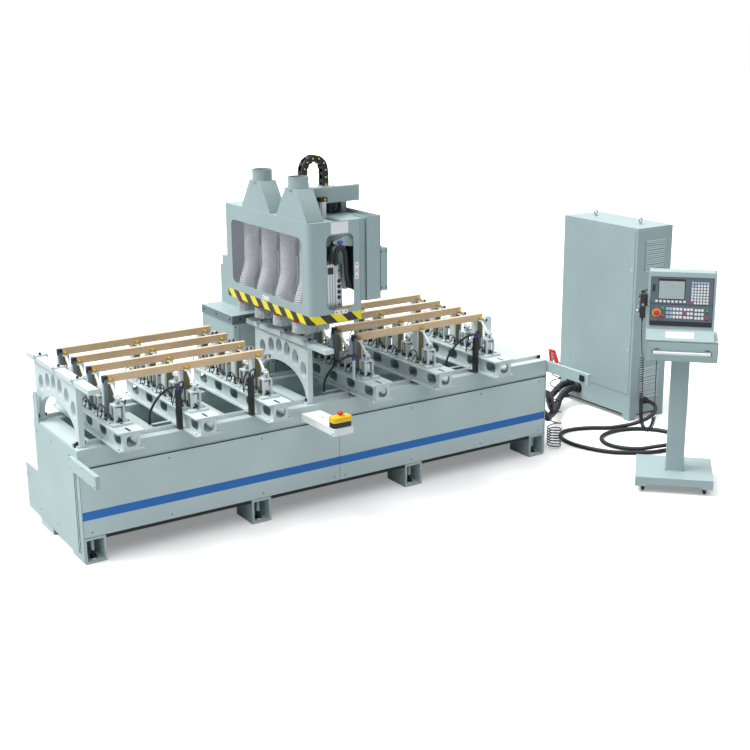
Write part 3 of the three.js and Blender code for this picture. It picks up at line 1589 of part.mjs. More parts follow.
function pendant() {
  const right = housingLeft - pendantHook - gap;
  const left = right - pendantDeep;
  const top = pendantBottom + pendantTall;
  const back = pendantFront + pendantWide;
  const middle = (pendantFront + back) / 2;
  const knob = (y) => rodX(y, pendantBottom + pendantTall * pendantKnobShare, left - pendantDialTall,
    left + millimetre, pendantKnobRadius, 8);
  const shape = join(
    slabX(roundedOutline(pendantFront, back, pendantBottom, top, pendantHook), left, right, 2),
    block(right - millimetre, housingLeft - gap, middle, back - gap - gap,
      pendantBottom + pendantTall * pendantTabShares[0], pendantBottom + pendantTall * pendantTabShares[1]),
    rodX(middle, pendantBottom + pendantTall * pendantDialShare, left - pendantDialTall,
      left + millimetre, pendantDialRadius, 16),
    knob(middle - pendantWide / 4),
    knob(middle + pendantWide / 4),
  );
  piece('pendant', shape, finish.dark, consoleGroup);
}

// Cords: hand-chosen points, swept by a circle

function cordGeometry(points, radius, sides = cordSides) {
  const curve = new THREE.CatmullRomCurve3(points.map(([x, y, z]) => new THREE.Vector3(x, y, z)));
  const steps = Math.ceil(curve.getLength() / (2 * radius * cordStepShare));
  const circle = new THREE.Shape();
  for (let k = 0; k < sides; k += 1) {
    const a = (k / sides) * 2 * Math.PI;
    const spot = [radius * Math.cos(a), radius * Math.sin(a)];
    if (k === 0) {
      circle.moveTo(...spot);
    } else {
      circle.lineTo(...spot);
    }
  }
  console.log(`cord length ${curve.getLength().toFixed(0)} mm in ${steps} steps`);
  return new THREE.ExtrudeGeometry(circle, { steps, extrudePath: curve, bevelEnabled: false });
}

const powerHosePoints = [
  [
    [3540, 150, 396],
    [3670, 220, 356],
    [3860, 385, 178],
    [4100, 693, 128],
    [4288, 853, 108],
    [4398, 883, 148],
  ],
  [
    [3540, 150, 270],
    [3670, 220, 180],
    [3860, 410, 105],
    [4100, 610, 70],
    [4288, 770, 92],
    [4398, 800, 132],
  ],
];

function bedHoses() {
  const names = ['power_hose_upper', 'power_hose_lower'];
  names.forEach((name, i) => {
    const route = [
      [bedLength + gap, ...bedGlandPlaces[i]],
      ...powerHosePoints[i],
      [cabinetLeft - glandLong - gap, ...hoseGlandPlaces[i]],
    ];
    piece(name, cordGeometry(route, bigHoseRadius), finish.black);
  });
}

// Points on the floor are listed as [x, y]; the cable drops from the cabinet's gland and lies in two loops
const cableDrop = [
  [4640, 138, 150],
  [4633, 92, 146],
  [4611, 50, 138],
  [4578, 17, 127],
  [4536, -5, 113],
  [4490, -12, 96],
  [4445, -6, 80],
  [4403, 11, 65],
  [4364, 36, 50],
  [4326, 66, 38],
  [4288, 95, 28],
  [4250, 124, 20],
];
const cableLoops = [
  [4207, 153],
  [4150, 192],
  [4080, 232],
  [3998, 262],
  [3900, 268],
  [3822, 232],
  [3766, 160],
  [3744, 62],
  [3750, -36],
  [3769, -105],
  [3810, -205],
  [3869, -290],
  [3968, -372],
  [4070, -430],
  [4177, -461],
  [4290, -458],
  [4401, -413],
  [4484, -340],
  [4522, -247],
  [4509, -150],
  [4460, -64],
  [4394, 0],
  [4282, 52],
  [4146, 58],
  [4022, 6],
  [3960, -92],
  [3958, -195],
  [4010, -290],
];
const cableRise = [
  [4072, -350, 19],
  [4134, -400, 34],
  [4174, -474, 60],
  [4180, -562, 92],
  [4144, -646, 122],
  [4072, -722, 148],
];

// Console-side end of the floor cable: a point in the console's frame, given in the machine's frame
function consolePoint(u, v, w) {
  const c = Math.cos(consoleTurn);
  const s = Math.sin(consoleTurn);
  return [consoleX + c * u - s * v, consoleY + s * u + c * v, w];
}

const cableEntry = 180;
const cableLead = 130;
const cableLeadDrop = 8;

function floorCable() {
  const rest = floorCableRadius + millimetre;
  const route = [
    [floorGlandX, cabinetFront - glandLong - gap, floorGlandZ],
    ...cableDrop,
    ...cableLoops.map(([x, y]) => [x, y, rest]),
    ...cableRise,
    consolePoint(postMiddle, postBack + cableLead, cableEntry - cableLeadDrop),
    consolePoint(postMiddle, postBack + cableLead / 2, cableEntry),
    consolePoint(postMiddle, postBack + gap, cableEntry),
  ];
  piece('floor_cable', cordGeometry(route, floorCableRadius), finish.black);
}

// A tube through ready-made points, with ends closed
function tubeThrough(points, radius, sides) {
  const positions = [];
  const index = [];
  const tangentAt = (i) => points[Math.min(i + 1, points.length - 1)].clone()
    .sub(points[Math.max(i - 1, 0)]).normalize();
  let normal = null;
  points.forEach((point, i) => {
    const tangent = tangentAt(i);
    if (normal === null) {
      normal = new THREE.Vector3(1, 0, 0);
      if (Math.abs(tangent.x) > 0.9) {
        normal.set(0, 1, 0);
      }
    }
    normal.sub(tangent.clone().multiplyScalar(normal.dot(tangent))).normalize();
    const other = new THREE.Vector3().crossVectors(tangent, normal);
    for (let k = 0; k < sides; k += 1) {
      const a = (k / sides) * 2 * Math.PI;
      const spot = point.clone()
        .addScaledVector(normal, radius * Math.cos(a))
        .addScaledVector(other, radius * Math.sin(a));
      positions.push(spot.x, spot.y, spot.z);
    }
    if (i > 0) {
      for (let k = 0; k < sides; k += 1) {
        const n = (k + 1) % sides;
        const low = (i - 1) * sides;
        const high = i * sides;
        index.push(low + k, low + n, high + n, low + k, high + n, high + k);
      }
    }
  });
  const last = (points.length - 1) * sides;
  for (let k = 1; k < sides - 1; k += 1) {
    index.push(0, k + 1, k);
    index.push(last, last + k, last + k + 1);
  }
  const geometry = new THREE.BufferGeometry();
  geometry.setAttribute('position', new THREE.Float32BufferAttribute(positions, 3));
  geometry.setIndex(index);
  return geometry.toNonIndexed();
}

// Least distance between stretches of a wound tube that aren't neighbours along it, less its thickness
function leastSelfGap(points, radius) {
  const skip = 5;
  let least = Infinity;
  for (let i = 0; i < points.length; i += 1) {
    for (let j = i + skip; j < points.length; j += 1) {
      least = Math.min(least, points[i].distanceTo(points[j]));
    }
  }
  return least - 2 * radius;
}

// Spiral air hose: stretched from the arm down to the floor, its last turns piled up
function springHose() {
  const points = [];
  const total = springHoseTurns * springHoseSteps;
  const bottom = springHoseFloor + springHoseRadius;
  for (let i = 0; i <= total; i += 1) {
    const t = i / total;
    const hang = Math.min(t / (1 - springHosePileShare), 1);
    const pile = Math.max((t - (1 - springHosePileShare)) / springHosePileShare, 0);
    const z = springHoseTop + (springHosePile - springHoseTop) * hang + (bottom - springHosePile) * pile;
    const radius = springHoseTopRadius + (springHoseBottomRadius - springHoseTopRadius) * hang;
    const a = (i / springHoseSteps) * 2 * Math.PI;
    points.push(new THREE.Vector3(springHoseX + radius * Math.cos(a), springHoseY + radius * Math.sin(a),
      z));
  }
  const first = points[0];
  const armFace = bedLength + armThick + gap;
  points.unshift(
    new THREE.Vector3(armFace, springHoseLeadY, springHoseLeadZ),
    new THREE.Vector3(armFace + springHoseRadius * 3, springHoseLeadY, springHoseLeadZ),
    new THREE.Vector3((armFace + first.x) / 2, springHoseLeadY, springHoseLeadZ),
    new THREE.Vector3(first.x - springHoseRadius * 5, (springHoseLeadY + first.y) / 2,
      springHoseLeadZ - springHoseRadius),
    new THREE.Vector3(first.x, first.y - springHoseRadius, springHoseTop + springHoseRadius * 5),
  );
  console.log(`spring hose least self-gap ${leastSelfGap(points, springHoseRadius).toFixed(2)} mm`);
  piece('air_spring_hose', tubeThrough(points, springHoseRadius, springHoseSides), finish.black);
}

// Curly cord of the pendant, in the console's frame: down from the pendant, round a bend, up to the shelf
const pendantCordV = pendantFront + pendantWide / 2;
const pendantCordU = housingLeft - pendantHook - pendantDeep / 2;
const pendantCordEndU = 98;
const pendantCordPoints = [
  [-8, 1090],
  [-4, 1010],
  [2, 930],
  [6, 800],
  [10, 667],
  [14, 540],
  [26, 448],
  [56, 403],
  [86, 432],
  [100, 500],
  [101, 590],
  [99, 700],
  [98, 810],
];

function pendantCord() {
  const curve = new THREE.CatmullRomCurve3([
    new THREE.Vector3(pendantCordU, pendantCordV, pendantBottom - gap),
    ...pendantCordPoints.map(([u, w]) => new THREE.Vector3(u, pendantCordV, w)),
    new THREE.Vector3(pendantCordEndU, pendantCordV, drawerBottom - drawerSheet - gap),
  ]);
  const [from, to] = curlRunShares;
  const points = [];
  const steps = pendantCurls * pendantCurlSteps;
  const side = new THREE.Vector3(0, 1, 0);
  const along = (t, offset, a) => {
    const other = new THREE.Vector3().crossVectors(curve.getTangentAt(t), side).normalize();
    return curve.getPointAt(t).addScaledVector(side, offset * Math.cos(a)).addScaledVector(other,
      offset * Math.sin(a));
  };
  cordHeadShares.forEach((t) => points.push(along(t, 0, 0)));
  for (let i = 0; i <= steps; i += 1) {
    const swell = Math.min(i / curlSwellSteps, (steps - i) / curlSwellSteps, 1);
    points.push(along(from + (to - from) * (i / steps), pendantCurlRadius * swell,
      (i / pendantCurlSteps) * 2 * Math.PI));
  }
  cordTailShares.forEach((t) => points.push(along(t, 0, 0)));
  console.log(`pendant cord least self-gap ${leastSelfGap(points, pendantCordRadius).toFixed(2)} mm`);
  piece('pendant_cord', tubeThrough(points, pendantCordRadius, springHoseSides), finish.black,
    consoleGroup);
}

bedFrame();
endCovers();
frontPanels();
rearBase();
stopArch('left_stop_arch', leftArchX);
stopArch('middle_stop_arch', middleArchX);
supportBeams();
workpieces();
stopBracket();
bedStopButton();
airGun();
column();
headFrame();
hood();
hoodWindow();
brushSkirts();
for (let row = 0; row < 4; row += 1) {
  ribbedHose(`extraction_hose_${row + 1}`, blankY(row));
  toolChuck(row);
}
spindleCarriage();
liftDrive();
cableCarrier();
cabinet();
cabinetDoor();
consoleStand();
consoleHousing();
controlPanel();
consoleDrawer();
consoleStopButton();
pendant();
bedHoses();
floorCable();
springHose();
pendantCord();

// The origin is the middle of the machine's footprint on the floor, free cords left out
const cords = ['power_hose_upper', 'power_hose_lower', 'floor_cable', 'air_spring_hose', 'pendant_cord'];
machine.updateMatrixWorld(true);
const extent = new THREE.Box3();
machine.traverse((node) => {
  if (node.isMesh && !cords.includes(node.name)) {
    extent.union(new THREE.Box3().setFromObject(node, true));
  }
});
const centre = extent.getCenter(new THREE.Vector3());
machine.position.set(-centre.x, -centre.y, -extent.min.z);
console.log('shift', machine.position.x, machine.position.y, machine.position.z);

export default machine;
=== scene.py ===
# %% [markdown]
# # A CNC machining centre for wood
# The object is a long welded bed with sliding beams that hold wooden blanks, a column behind it
# that carries a hood with four spindles, a cabinet for the electrics and a console on casters.
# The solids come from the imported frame, which fixes every size and every joint. This script keeps
# the solids whose shape is already right and gives them a finish, and builds finer pieces in place
# of the others. Each fine piece is made in millimetres, from the same corner as the solids.

import bisect
import itertools
import json
import math
import random

import bmesh
import bpy
from mathutils import Matrix, Vector

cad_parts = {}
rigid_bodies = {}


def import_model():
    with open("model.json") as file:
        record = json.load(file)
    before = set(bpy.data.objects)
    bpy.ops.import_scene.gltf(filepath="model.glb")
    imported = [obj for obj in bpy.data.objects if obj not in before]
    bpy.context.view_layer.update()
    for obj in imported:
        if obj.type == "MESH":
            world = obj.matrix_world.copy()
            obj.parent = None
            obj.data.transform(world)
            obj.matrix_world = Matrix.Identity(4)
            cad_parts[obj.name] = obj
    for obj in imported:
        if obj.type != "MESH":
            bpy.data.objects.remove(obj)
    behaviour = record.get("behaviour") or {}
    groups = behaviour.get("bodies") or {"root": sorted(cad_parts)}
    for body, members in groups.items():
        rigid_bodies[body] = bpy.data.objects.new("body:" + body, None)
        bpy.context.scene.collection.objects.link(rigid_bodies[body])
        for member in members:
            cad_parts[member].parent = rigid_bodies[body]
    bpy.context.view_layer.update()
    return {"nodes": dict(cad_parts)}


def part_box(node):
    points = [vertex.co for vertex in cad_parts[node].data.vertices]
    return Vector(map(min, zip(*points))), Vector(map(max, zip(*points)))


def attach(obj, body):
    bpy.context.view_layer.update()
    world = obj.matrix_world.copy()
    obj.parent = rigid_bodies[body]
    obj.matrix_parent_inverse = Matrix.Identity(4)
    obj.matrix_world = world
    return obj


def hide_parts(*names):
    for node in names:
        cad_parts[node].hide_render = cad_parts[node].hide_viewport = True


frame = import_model()

# %% [markdown]
# Lengths are counted in millimetres from the bed's left front corner on the floor: x runs along
# the bed, y goes away from the operator, z goes up. The frame's own origin is the middle of the
# floor area, so the distance between the two is read once from a sheet whose corner is known.

# %% From the bed's corner to the frame
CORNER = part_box("front_panel_left")[0] - Vector((6.3, 3.7, 162)) / 1000


def at(x, y, z):
    """A place in the frame, in metres, from millimetres counted at the bed's corner."""
    return Vector((x, y, z)) / 1000 + CORNER


print("bed corner in the frame:", [round(v, 4) for v in CORNER])

# %% [markdown]
# The camera stands at the operator's left, a little above head height for such a long machine, so
# that the tops of the beams show. Its place was worked out from corners whose real places are
# known, and it is set before any shape, because all the later comparing is done through it.

# %% Camera
YAW, PITCH, ROLL = (math.radians(a) for a in (33.1644, 15.9274, 0.336))
forward = Vector((math.sin(YAW) * math.cos(PITCH), math.cos(YAW) * math.cos(PITCH), -math.sin(PITCH)))
level = Vector((math.cos(YAW), -math.sin(YAW), 0))
below = forward.cross(level)
right = math.cos(ROLL) * level + math.sin(ROLL) * below
down = -math.sin(ROLL) * level + math.cos(ROLL) * below
EYE = at(-2369, -6705, 3108)
SENSOR_MM, PICTURE_PIXELS, FOCAL_PIXELS, CLIP_METRES = 36, 750, 1294.97, 200
camera = bpy.data.objects.new("camera", bpy.data.cameras.new("camera"))
facing = Matrix((right, -down, -forward)).transposed().to_4x4()
camera.matrix_world = Matrix.Translation(EYE) @ facing
camera.data.sensor_width = SENSOR_MM
camera.data.lens = FOCAL_PIXELS * SENSOR_MM / PICTURE_PIXELS
camera.data.clip_end = CLIP_METRES
bpy.context.scene.collection.objects.link(camera)
bpy.context.scene.camera = camera
print("lens", round(camera.data.lens, 2), "mm")

# %% [markdown]
# ## Finishes
# Almost all of the machine is powder coated steel sheet. The rest is extruded and turned metal,
# rubber, moulded plastic, clear sheet and planed wood. Each finish is built from a few nodes.
# Colours are written as screens show them and turned to linear light by one function, and one
# small function adds a node with its settings, fixed values and links.


# %% Colour and node helpers
def colour(code, strength=1.0):
    """Linear light of a colour that is written as screens show it."""
    parts = [((code >> shift) & 255) / 255 for shift in (16, 8, 0)]
    return [strength * (c / 12.92 if c <= 0.04045 else ((c + 0.055) / 1.055) ** 2.4) for c in parts] + [1.0]


def add(tree, kind, values=None, links=None, **settings):
    """Adds one node with its settings, the fixed values of its sockets and its links."""
    made = tree.nodes.new("ShaderNode" + kind)
    for name, value in settings.items():
        setattr(made, name, value)
    for socket, value in (values or {}).items():
        made.inputs[socket].default_value = value
    for socket, source in (links or {}).items():
        tree.links.new(source, made.inputs[socket])
    return made


def begin(name):
    """A new empty finish, its node tree and the place on the object as a vector."""
    made = bpy.data.materials.new(name)
    made.use_nodes = True
    tree = made.node_tree
    tree.nodes.clear()
    return made, tree, add(tree, "TexCoord").outputs["Object"]


def end(tree, shader):
    add(tree, "OutputMaterial", links={"Surface": shader.outputs[0]})


def mixed(tree, first, second, share):
    """Two colours mixed by a share from 0 to 1."""
    node = add(tree, "Mix", {"A": first, "B": second}, {"Factor": share}, data_type="RGBA")
    return node.outputs["Result"]


def drifting(tree, code, drift, share):
    """One colour that drifts between a little darker and a little lighter."""
    return mixed(tree, colour(code, 1 - drift), colour(code, 1 + drift), share)


def spread(tree, middle, reach, source):
    """A share from 0 to 1 spread evenly round a middle value."""
    node = add(tree, "MapRange", {"To Min": middle - reach, "To Max": middle + reach}, {"Value": source})
    return node.outputs[0]


def shader_of(tree, values, **links):
    """The main shader, with its fixed values and its links."""
    names = {"base": "Base Color", "rough": "Roughness", "bump": "Normal", "alpha": "Alpha"}
    end(tree, add(tree, "BsdfPrincipled", values, {names[key]: link for key, link in links.items()}))


print("1 helper adds every node, 4 more write what repeats")

# %% [markdown]
# Powder coat is a baked polyester skin. From a distance it is one even colour, from close by it
# has the fine skin of an orange, with lumps about 2 mm across, and large sheets differ a little in
# tone from place to place. One function makes every coated finish, with that size and that drift,
# and rows that need a stripe or a steel rail hand in the extra colour as a band of height.


# %% Powder coat
def powder_coat(name, code, roughness=0.42, lump=2.0, drift=0.05):
    made, tree, place = begin(name)
    cloud = add(tree, "TexNoise", {"Scale": 2.2, "Detail": 3.0}, {"Vector": place})
    dust = add(tree, "TexNoise", {"Scale": 38.0, "Detail": 6.0, "Roughness": 0.7}, {"Vector": place})
    blend = add(tree, "MapRange", {"From Min": 0.3, "From Max": 0.7}, {"Value": cloud.outputs["Fac"]})
    tone = drifting(tree, code, drift, blend.outputs[0])
    speck = add(tree, "MapRange", {"From Min": 0.35, "From Max": 0.75, "To Min": 0.985, "To Max": 1.015},
                {"Value": dust.outputs["Fac"]})
    shade = add(tree, "VectorMath", {}, {0: tone, 1: speck.outputs[0]}, operation="MULTIPLY")
    rough = spread(tree, roughness, 0.06, dust.outputs["Fac"])
    skin = add(tree, "TexNoise", {"Scale": 1000 / lump, "Detail": 1.0}, {"Vector": place})
    bump = add(tree, "Bump", {"Strength": 0.25, "Distance": 0.00012}, {"Height": skin.outputs["Fac"]})
    shader_of(tree, {"IOR": 1.5}, base=shade.outputs[0], rough=rough, bump=bump.outputs[0])
    return made


SHEET = powder_coat("powder coat grey green", 0x9DB1B3)
FRAME_COAT = powder_coat("powder coat grey green frame", 0xBDCCCD, roughness=0.5, lump=3.0)
END_COAT = powder_coat("powder coat mid grey green", 0xA9BEBE)
PALE = powder_coat("powder coat pale", 0xCBD8D9, drift=0.03)
WHITE = powder_coat("powder coat white", 0xE9EDEC, drift=0.02)
DUSK = powder_coat("powder coat slate", 0x6F7F86, roughness=0.5)
print("powder coats:", SHEET.name, FRAME_COAT.name, PALE.name)

# %% [markdown]
# The bed's front sheets carry one blue stripe, masked and sprayed over the coat. Painting it as a
# band of height in the finish keeps its edges straight across both sheets, with no extra shape.
# The bed frame takes bare ground steel the same way, on the two rails that stand above its top.


# %% Stripe and rails as bands of height
def banded(name, base, low, high, code, metallic=0.0, roughness=0.4):
    made = base.copy()
    made.name = name
    tree = made.node_tree
    shader = next(n for n in tree.nodes if n.type == "BSDF_PRINCIPLED")
    coat = shader.inputs["Base Color"].links[0].from_socket
    place = next(n for n in tree.nodes if n.type == "TEX_COORD").outputs["Object"]
    height = add(tree, "SeparateXYZ", {}, {0: place}).outputs["Z"]
    over = add(tree, "Math", {1: low / 1000}, {0: height}, operation="GREATER_THAN")
    under = add(tree, "Math", {1: high / 1000}, {0: height}, operation="LESS_THAN")
    inside = add(tree, "Math", {}, {0: over.outputs[0], 1: under.outputs[0]}, operation="MULTIPLY")
    both = add(tree, "Mix", {"B": colour(code)}, {"Factor": inside.outputs[0], "A": coat}, data_type="RGBA")
    tree.links.new(both.outputs["Result"], shader.inputs["Base Color"])
    if metallic:
        gloss = add(tree, "Math", {1: metallic}, {0: inside.outputs[0]}, operation="MULTIPLY")
        tree.links.new(gloss.outputs[0], shader.inputs["Metallic"])
    return made


PANEL_COAT = powder_coat("powder coat light grey green", 0xC6D8D9, drift=0.04)
STRIPED = banded("powder coat with blue stripe", PANEL_COAT, 268, 321, 0x1C70C2)
RAILED = banded("powder coat with ground rails", FRAME_COAT, 700.5, 760, 0xC9CED0, metallic=0.8)
SLIDED = banded("powder coat with ground slides", SHEET, 420.5, 460, 0xC9CED0, metallic=0.8)
print("bands:", STRIPED.name, RAILED.name, SLIDED.name)

# %% [markdown]
# Metals keep their own index of refraction and differ in how they were worked. Extruded and milled
# aluminium has fine lines along one direction, turned steel has lines round its axis and chrome is
# nearly a mirror. The lines are about 0.3 mm apart, too fine to show, so they are drawn 1 mm apart.


# %% Worked metals
def worked_metal(name, code, roughness, stretch=(1, 1, 0.03), line=1.0, drift=0.06):
    made, tree, place = begin(name)
    long = add(tree, "Mapping", {"Scale": stretch}, {"Vector": place})
    lines = add(tree, "TexNoise", {"Scale": 1000 / line, "Detail": 3.0}, {"Vector": long.outputs[0]})
    cloud = add(tree, "TexNoise", {"Scale": 9.0, "Detail": 3.0}, {"Vector": place})
    tone = drifting(tree, code, drift, cloud.outputs["Fac"])
    rough = spread(tree, roughness, 0.08, lines.outputs["Fac"])
    bump = add(tree, "Bump", {"Strength": 0.3, "Distance": 0.0001}, {"Height": lines.outputs["Fac"]})
    shader_of(tree, {"Metallic": 1.0}, base=tone, rough=rough, bump=bump.outputs[0])
    return made


ALUMINIUM = worked_metal("extruded aluminium", 0xC6CCCE, 0.38)
MILLED = worked_metal("milled aluminium", 0xB9C0C2, 0.45, stretch=(0.03, 1, 1))
STEEL = worked_metal("ground steel", 0xA9AEB1, 0.3, stretch=(0.05, 1, 1))
CHROME = worked_metal("chromed steel", 0xD6DADC, 0.14)
BRASS = worked_metal("turned brass", 0xC99A3C, 0.32)
BLACK_STEEL = worked_metal("blackened steel", 0x3A3C3F, 0.42)
print("metals:", ALUMINIUM.name, STEEL.name, BRASS.name)

# %% [markdown]
# Moulded and extruded plastics and rubbers are dull or satin, with a spark eroded texture of about
# half a millimetre that is drawn 1.5 mm coarse. Rubber is rougher and has a little grey bloom.


# %% Moulded plastics and rubbers
def moulded(name, code, roughness=0.45, grain=1.5, bloom=0.06, ior=1.5, **extra):
    made, tree, place = begin(name)
    cloud = add(tree, "TexNoise", {"Scale": 24.0, "Detail": 4.0}, {"Vector": place})
    tone = drifting(tree, code, bloom, cloud.outputs["Fac"])
    pits = add(tree, "TexVoronoi", {"Scale": 1000 / grain}, {"Vector": place})
    bump = add(tree, "Bump", {"Strength": 0.3, "Distance": 0.0001}, {"Height": pits.outputs["Distance"]})
    rough = spread(tree, roughness, 0.07, cloud.outputs["Fac"])
    values = {"IOR": ior, **{key.replace("_", " "): value for key, value in extra.items()}}
    shader_of(tree, values, base=tone, rough=rough, bump=bump.outputs[0])
    return made


RUBBER = moulded("black rubber", 0x17191B, 0.55, bloom=0.35)
HOSE_RUBBER = moulded("ribbed black rubber", 0x1B1D1F, 0.48, bloom=0.3)
ABS_BLACK = moulded("black ABS", 0x1D2022, 0.38)
ABS_GREY = moulded("grey ABS", 0x8B959A, 0.4)
ABS_YELLOW = moulded("yellow ABS", 0xF3C61A, 0.35)
ABS_RED = moulded("red ABS", 0xD2231B, 0.3)
ACETAL_BLUE = moulded("blue acetal", 0x2F62C8, 0.35)
FITTING_PURPLE = moulded("violet acetal", 0x453B80, 0.35)
NYLON = moulded("grey nylon bristle", 0xE2E7E8, 0.5, ior=1.53, Subsurface_Weight=0.15)
HOSE_FILM = moulded("white PVC film", 0xF7F8F8, 0.36, ior=1.53, Subsurface_Weight=0.25)
KEY_LIGHT = moulded("light key plastic", 0xDDE1E2, 0.42)
RED_FILM = moulded("red vinyl", 0xC23A34, 0.4)
HAZARD_YELLOW = moulded("yellow vinyl", 0xF1E416, 0.36)
HAZARD_BLACK = moulded("black vinyl", 0x2B2620, 0.36)
LABEL = moulded("white vinyl", 0xEEF0F0, 0.4)
YELLOW_DOT = moulded("yellow nylon", 0xE8DC3C, 0.4)
PAD = moulded("cast polyurethane", 0xB9963F, 0.55)
print("plastics:", RUBBER.name, ABS_BLACK.name, HOSE_FILM.name)

# %% [markdown]
# The window is a sheet of clear polycarbonate. It was made as a thin see-through skin with a grey
# cast instead of true refracting glass, because light must still reach the hoses behind it.

# %% Clear sheet
CLEAR, tree, place = begin("clear polycarbonate")
smear = add(tree, "TexNoise", {"Scale": 6.0, "Detail": 4.0}, {"Vector": place})
veil = add(tree, "MapRange", {"To Min": 0.2, "To Max": 0.28}, {"Value": smear.outputs["Fac"]})
shader_of(tree, {"Base Color": colour(0x9A9CA6), "Roughness": 0.08, "IOR": 1.585}, alpha=veil.outputs[0])
SCREEN, tree, place = begin("display glass")
haze = add(tree, "TexNoise", {"Scale": 30.0}, {"Vector": place})
cast = mixed(tree, colour(0x97A8A6), colour(0xA6B6B3), haze.outputs["Fac"])
shader_of(tree, {"Roughness": 0.12, "IOR": 1.52}, base=cast)
print("clear:", CLEAR.name)

# %% [markdown]
# The blanks are planed softwood, sawn along the trunk: long yellow brown lines about 4 mm apart
# that wander a little, darker late wood and a soft sheen, with broad warmer patches; the few small knots
# are not drawn.

# %% Planed softwood
WOOD, tree, place = begin("planed pine")
long = add(tree, "Mapping", {"Scale": (0.06, 1, 1)}, {"Vector": place})
wander = add(tree, "TexNoise", {"Scale": 14.0, "Detail": 4.0}, {"Vector": long.outputs[0]})
shifted = add(tree, "VectorMath", {"Scale": 0.05}, {0: wander.outputs["Color"]}, operation="SCALE")
moved = add(tree, "VectorMath", {}, {0: long.outputs[0], 1: shifted.outputs[0]}, operation="ADD")
rings = add(tree, "TexWave", {"Scale": 70.0, "Distortion": 2.0, "Detail": 2.0, "Detail Scale": 1.5},
            {"Vector": moved.outputs[0]}, wave_type="RINGS", rings_direction="X")
fibre = add(tree, "TexNoise", {"Scale": 700.0, "Detail": 2.0}, {"Vector": long.outputs[0]})
flow = mixed(tree, colour(0xEFD6B0), colour(0xD6B68E), rings.outputs["Fac"])
patch = add(tree, "TexNoise", {"Scale": 3.5, "Detail": 2.0}, {"Vector": place})
amount = add(tree, "MapRange", {"From Min": 0.45, "From Max": 0.75, "To Max": 0.6},
             {"Value": patch.outputs["Fac"]})
warm = add(tree, "Mix", {"B": colour(0xCBA488)}, {"A": flow, "Factor": amount.outputs[0]}, data_type="RGBA")
pores = add(tree, "MapRange", {"From Min": 0.3, "From Max": 0.6, "To Min": 0.88, "To Max": 1.03},
            {"Value": fibre.outputs["Fac"]})
grain = add(tree, "VectorMath", {}, {0: warm.outputs["Result"], 1: pores.outputs[0]}, operation="MULTIPLY")
bump = add(tree, "Bump", {"Strength": 0.4, "Distance": 0.0002}, {"Height": fibre.outputs["Fac"]})
shader_of(tree, {"Roughness": 0.6, "IOR": 1.54}, base=grain.outputs[0], bump=bump.outputs[0])
print("wood:", WOOD.name)

# %% [markdown]
# ## Studio
# The floor and the backdrop are white, and the light is broad and soft, strongest from above and
# from the left. The floor adds a little light of its own for the camera only, so that it reads as
# white paper with the soft shadows of the machine still on it.

# %% Floor
FLOOR, tree, place = begin("white studio floor")
fleck = add(tree, "TexNoise", {"Scale": 3.0}, {"Vector": place})
paper = mixed(tree, colour(0xF2F3F3), colour(0xF6F6F6), fleck.outputs["Fac"])
seen = add(tree, "LightPath").outputs["Is Camera Ray"]
shown = add(tree, "Mix", {"A": colour(0xB8BCBE)}, {"Factor": seen, "B": paper}, data_type="RGBA")
matt = add(tree, "BsdfDiffuse", {}, {"Color": shown.outputs["Result"]})
faint = add(tree, "Math", {1: 0.24}, {0: seen}, operation="MULTIPLY")
glow = add(tree, "Emission", {"Color": (1, 1, 1, 1)}, {"Strength": faint.outputs[0]})
end(tree, add(tree, "AddShader", {}, {0: matt.outputs[0], 1: glow.outputs[0]}))
floor_mesh = bpy.data.meshes.new("floor")
floor_mesh.from_pydata([(-40, -40, 0), (40, -40, 0), (40, 60, 0), (-40, 60, 0)], [], [(0, 1, 2, 3)])
floor = bpy.data.objects.new("floor", floor_mesh)
floor.data.materials.append(FLOOR)
bpy.context.scene.collection.objects.link(floor)
print("floor:", FLOOR.name)

# %% World and lamps
world = bpy.data.worlds.new("studio")
world.use_nodes = True
tree = world.node_tree
tree.nodes.clear()
rays = add(tree, "LightPath").outputs
direct = add(tree, "Math", {}, {0: rays["Is Camera Ray"], 1: rays["Is Glossy Ray"]}, operation="MAXIMUM")
plain = add(tree, "Math", {}, {0: direct.outputs[0], 1: rays["Is Transmission Ray"]}, operation="MAXIMUM")
soft = add(tree, "Background", {"Color": (0.92, 0.97, 1.0, 1), "Strength": 0.13})
white = add(tree, "Background", {"Color": (1, 1, 1, 1), "Strength": 1.0})
both = add(tree, "MixShader", {}, {0: plain.outputs[0], 1: soft.outputs[0], 2: white.outputs[0]})
add(tree, "OutputWorld", links={"Surface": both.outputs[0]})
bpy.context.scene.world = world


def lamp(name, towards, strength, angle):
    made = bpy.data.objects.new(name, bpy.data.lights.new(name, "SUN"))
    made.data.energy = strength
    made.data.angle = math.radians(angle)
    made.rotation_euler = Vector(towards).to_track_quat("-Z", "Y").to_euler()
    bpy.context.scene.collection.objects.link(made)


lamp("key", (0.55, -0.3, -1.0), 2.9, 32)
lamp("dome", (0.1, 0.0, -1.0), 2.8, 110)
bpy.context.scene.view_settings.view_transform = "Standard"
print("studio: world and 2 lamps")
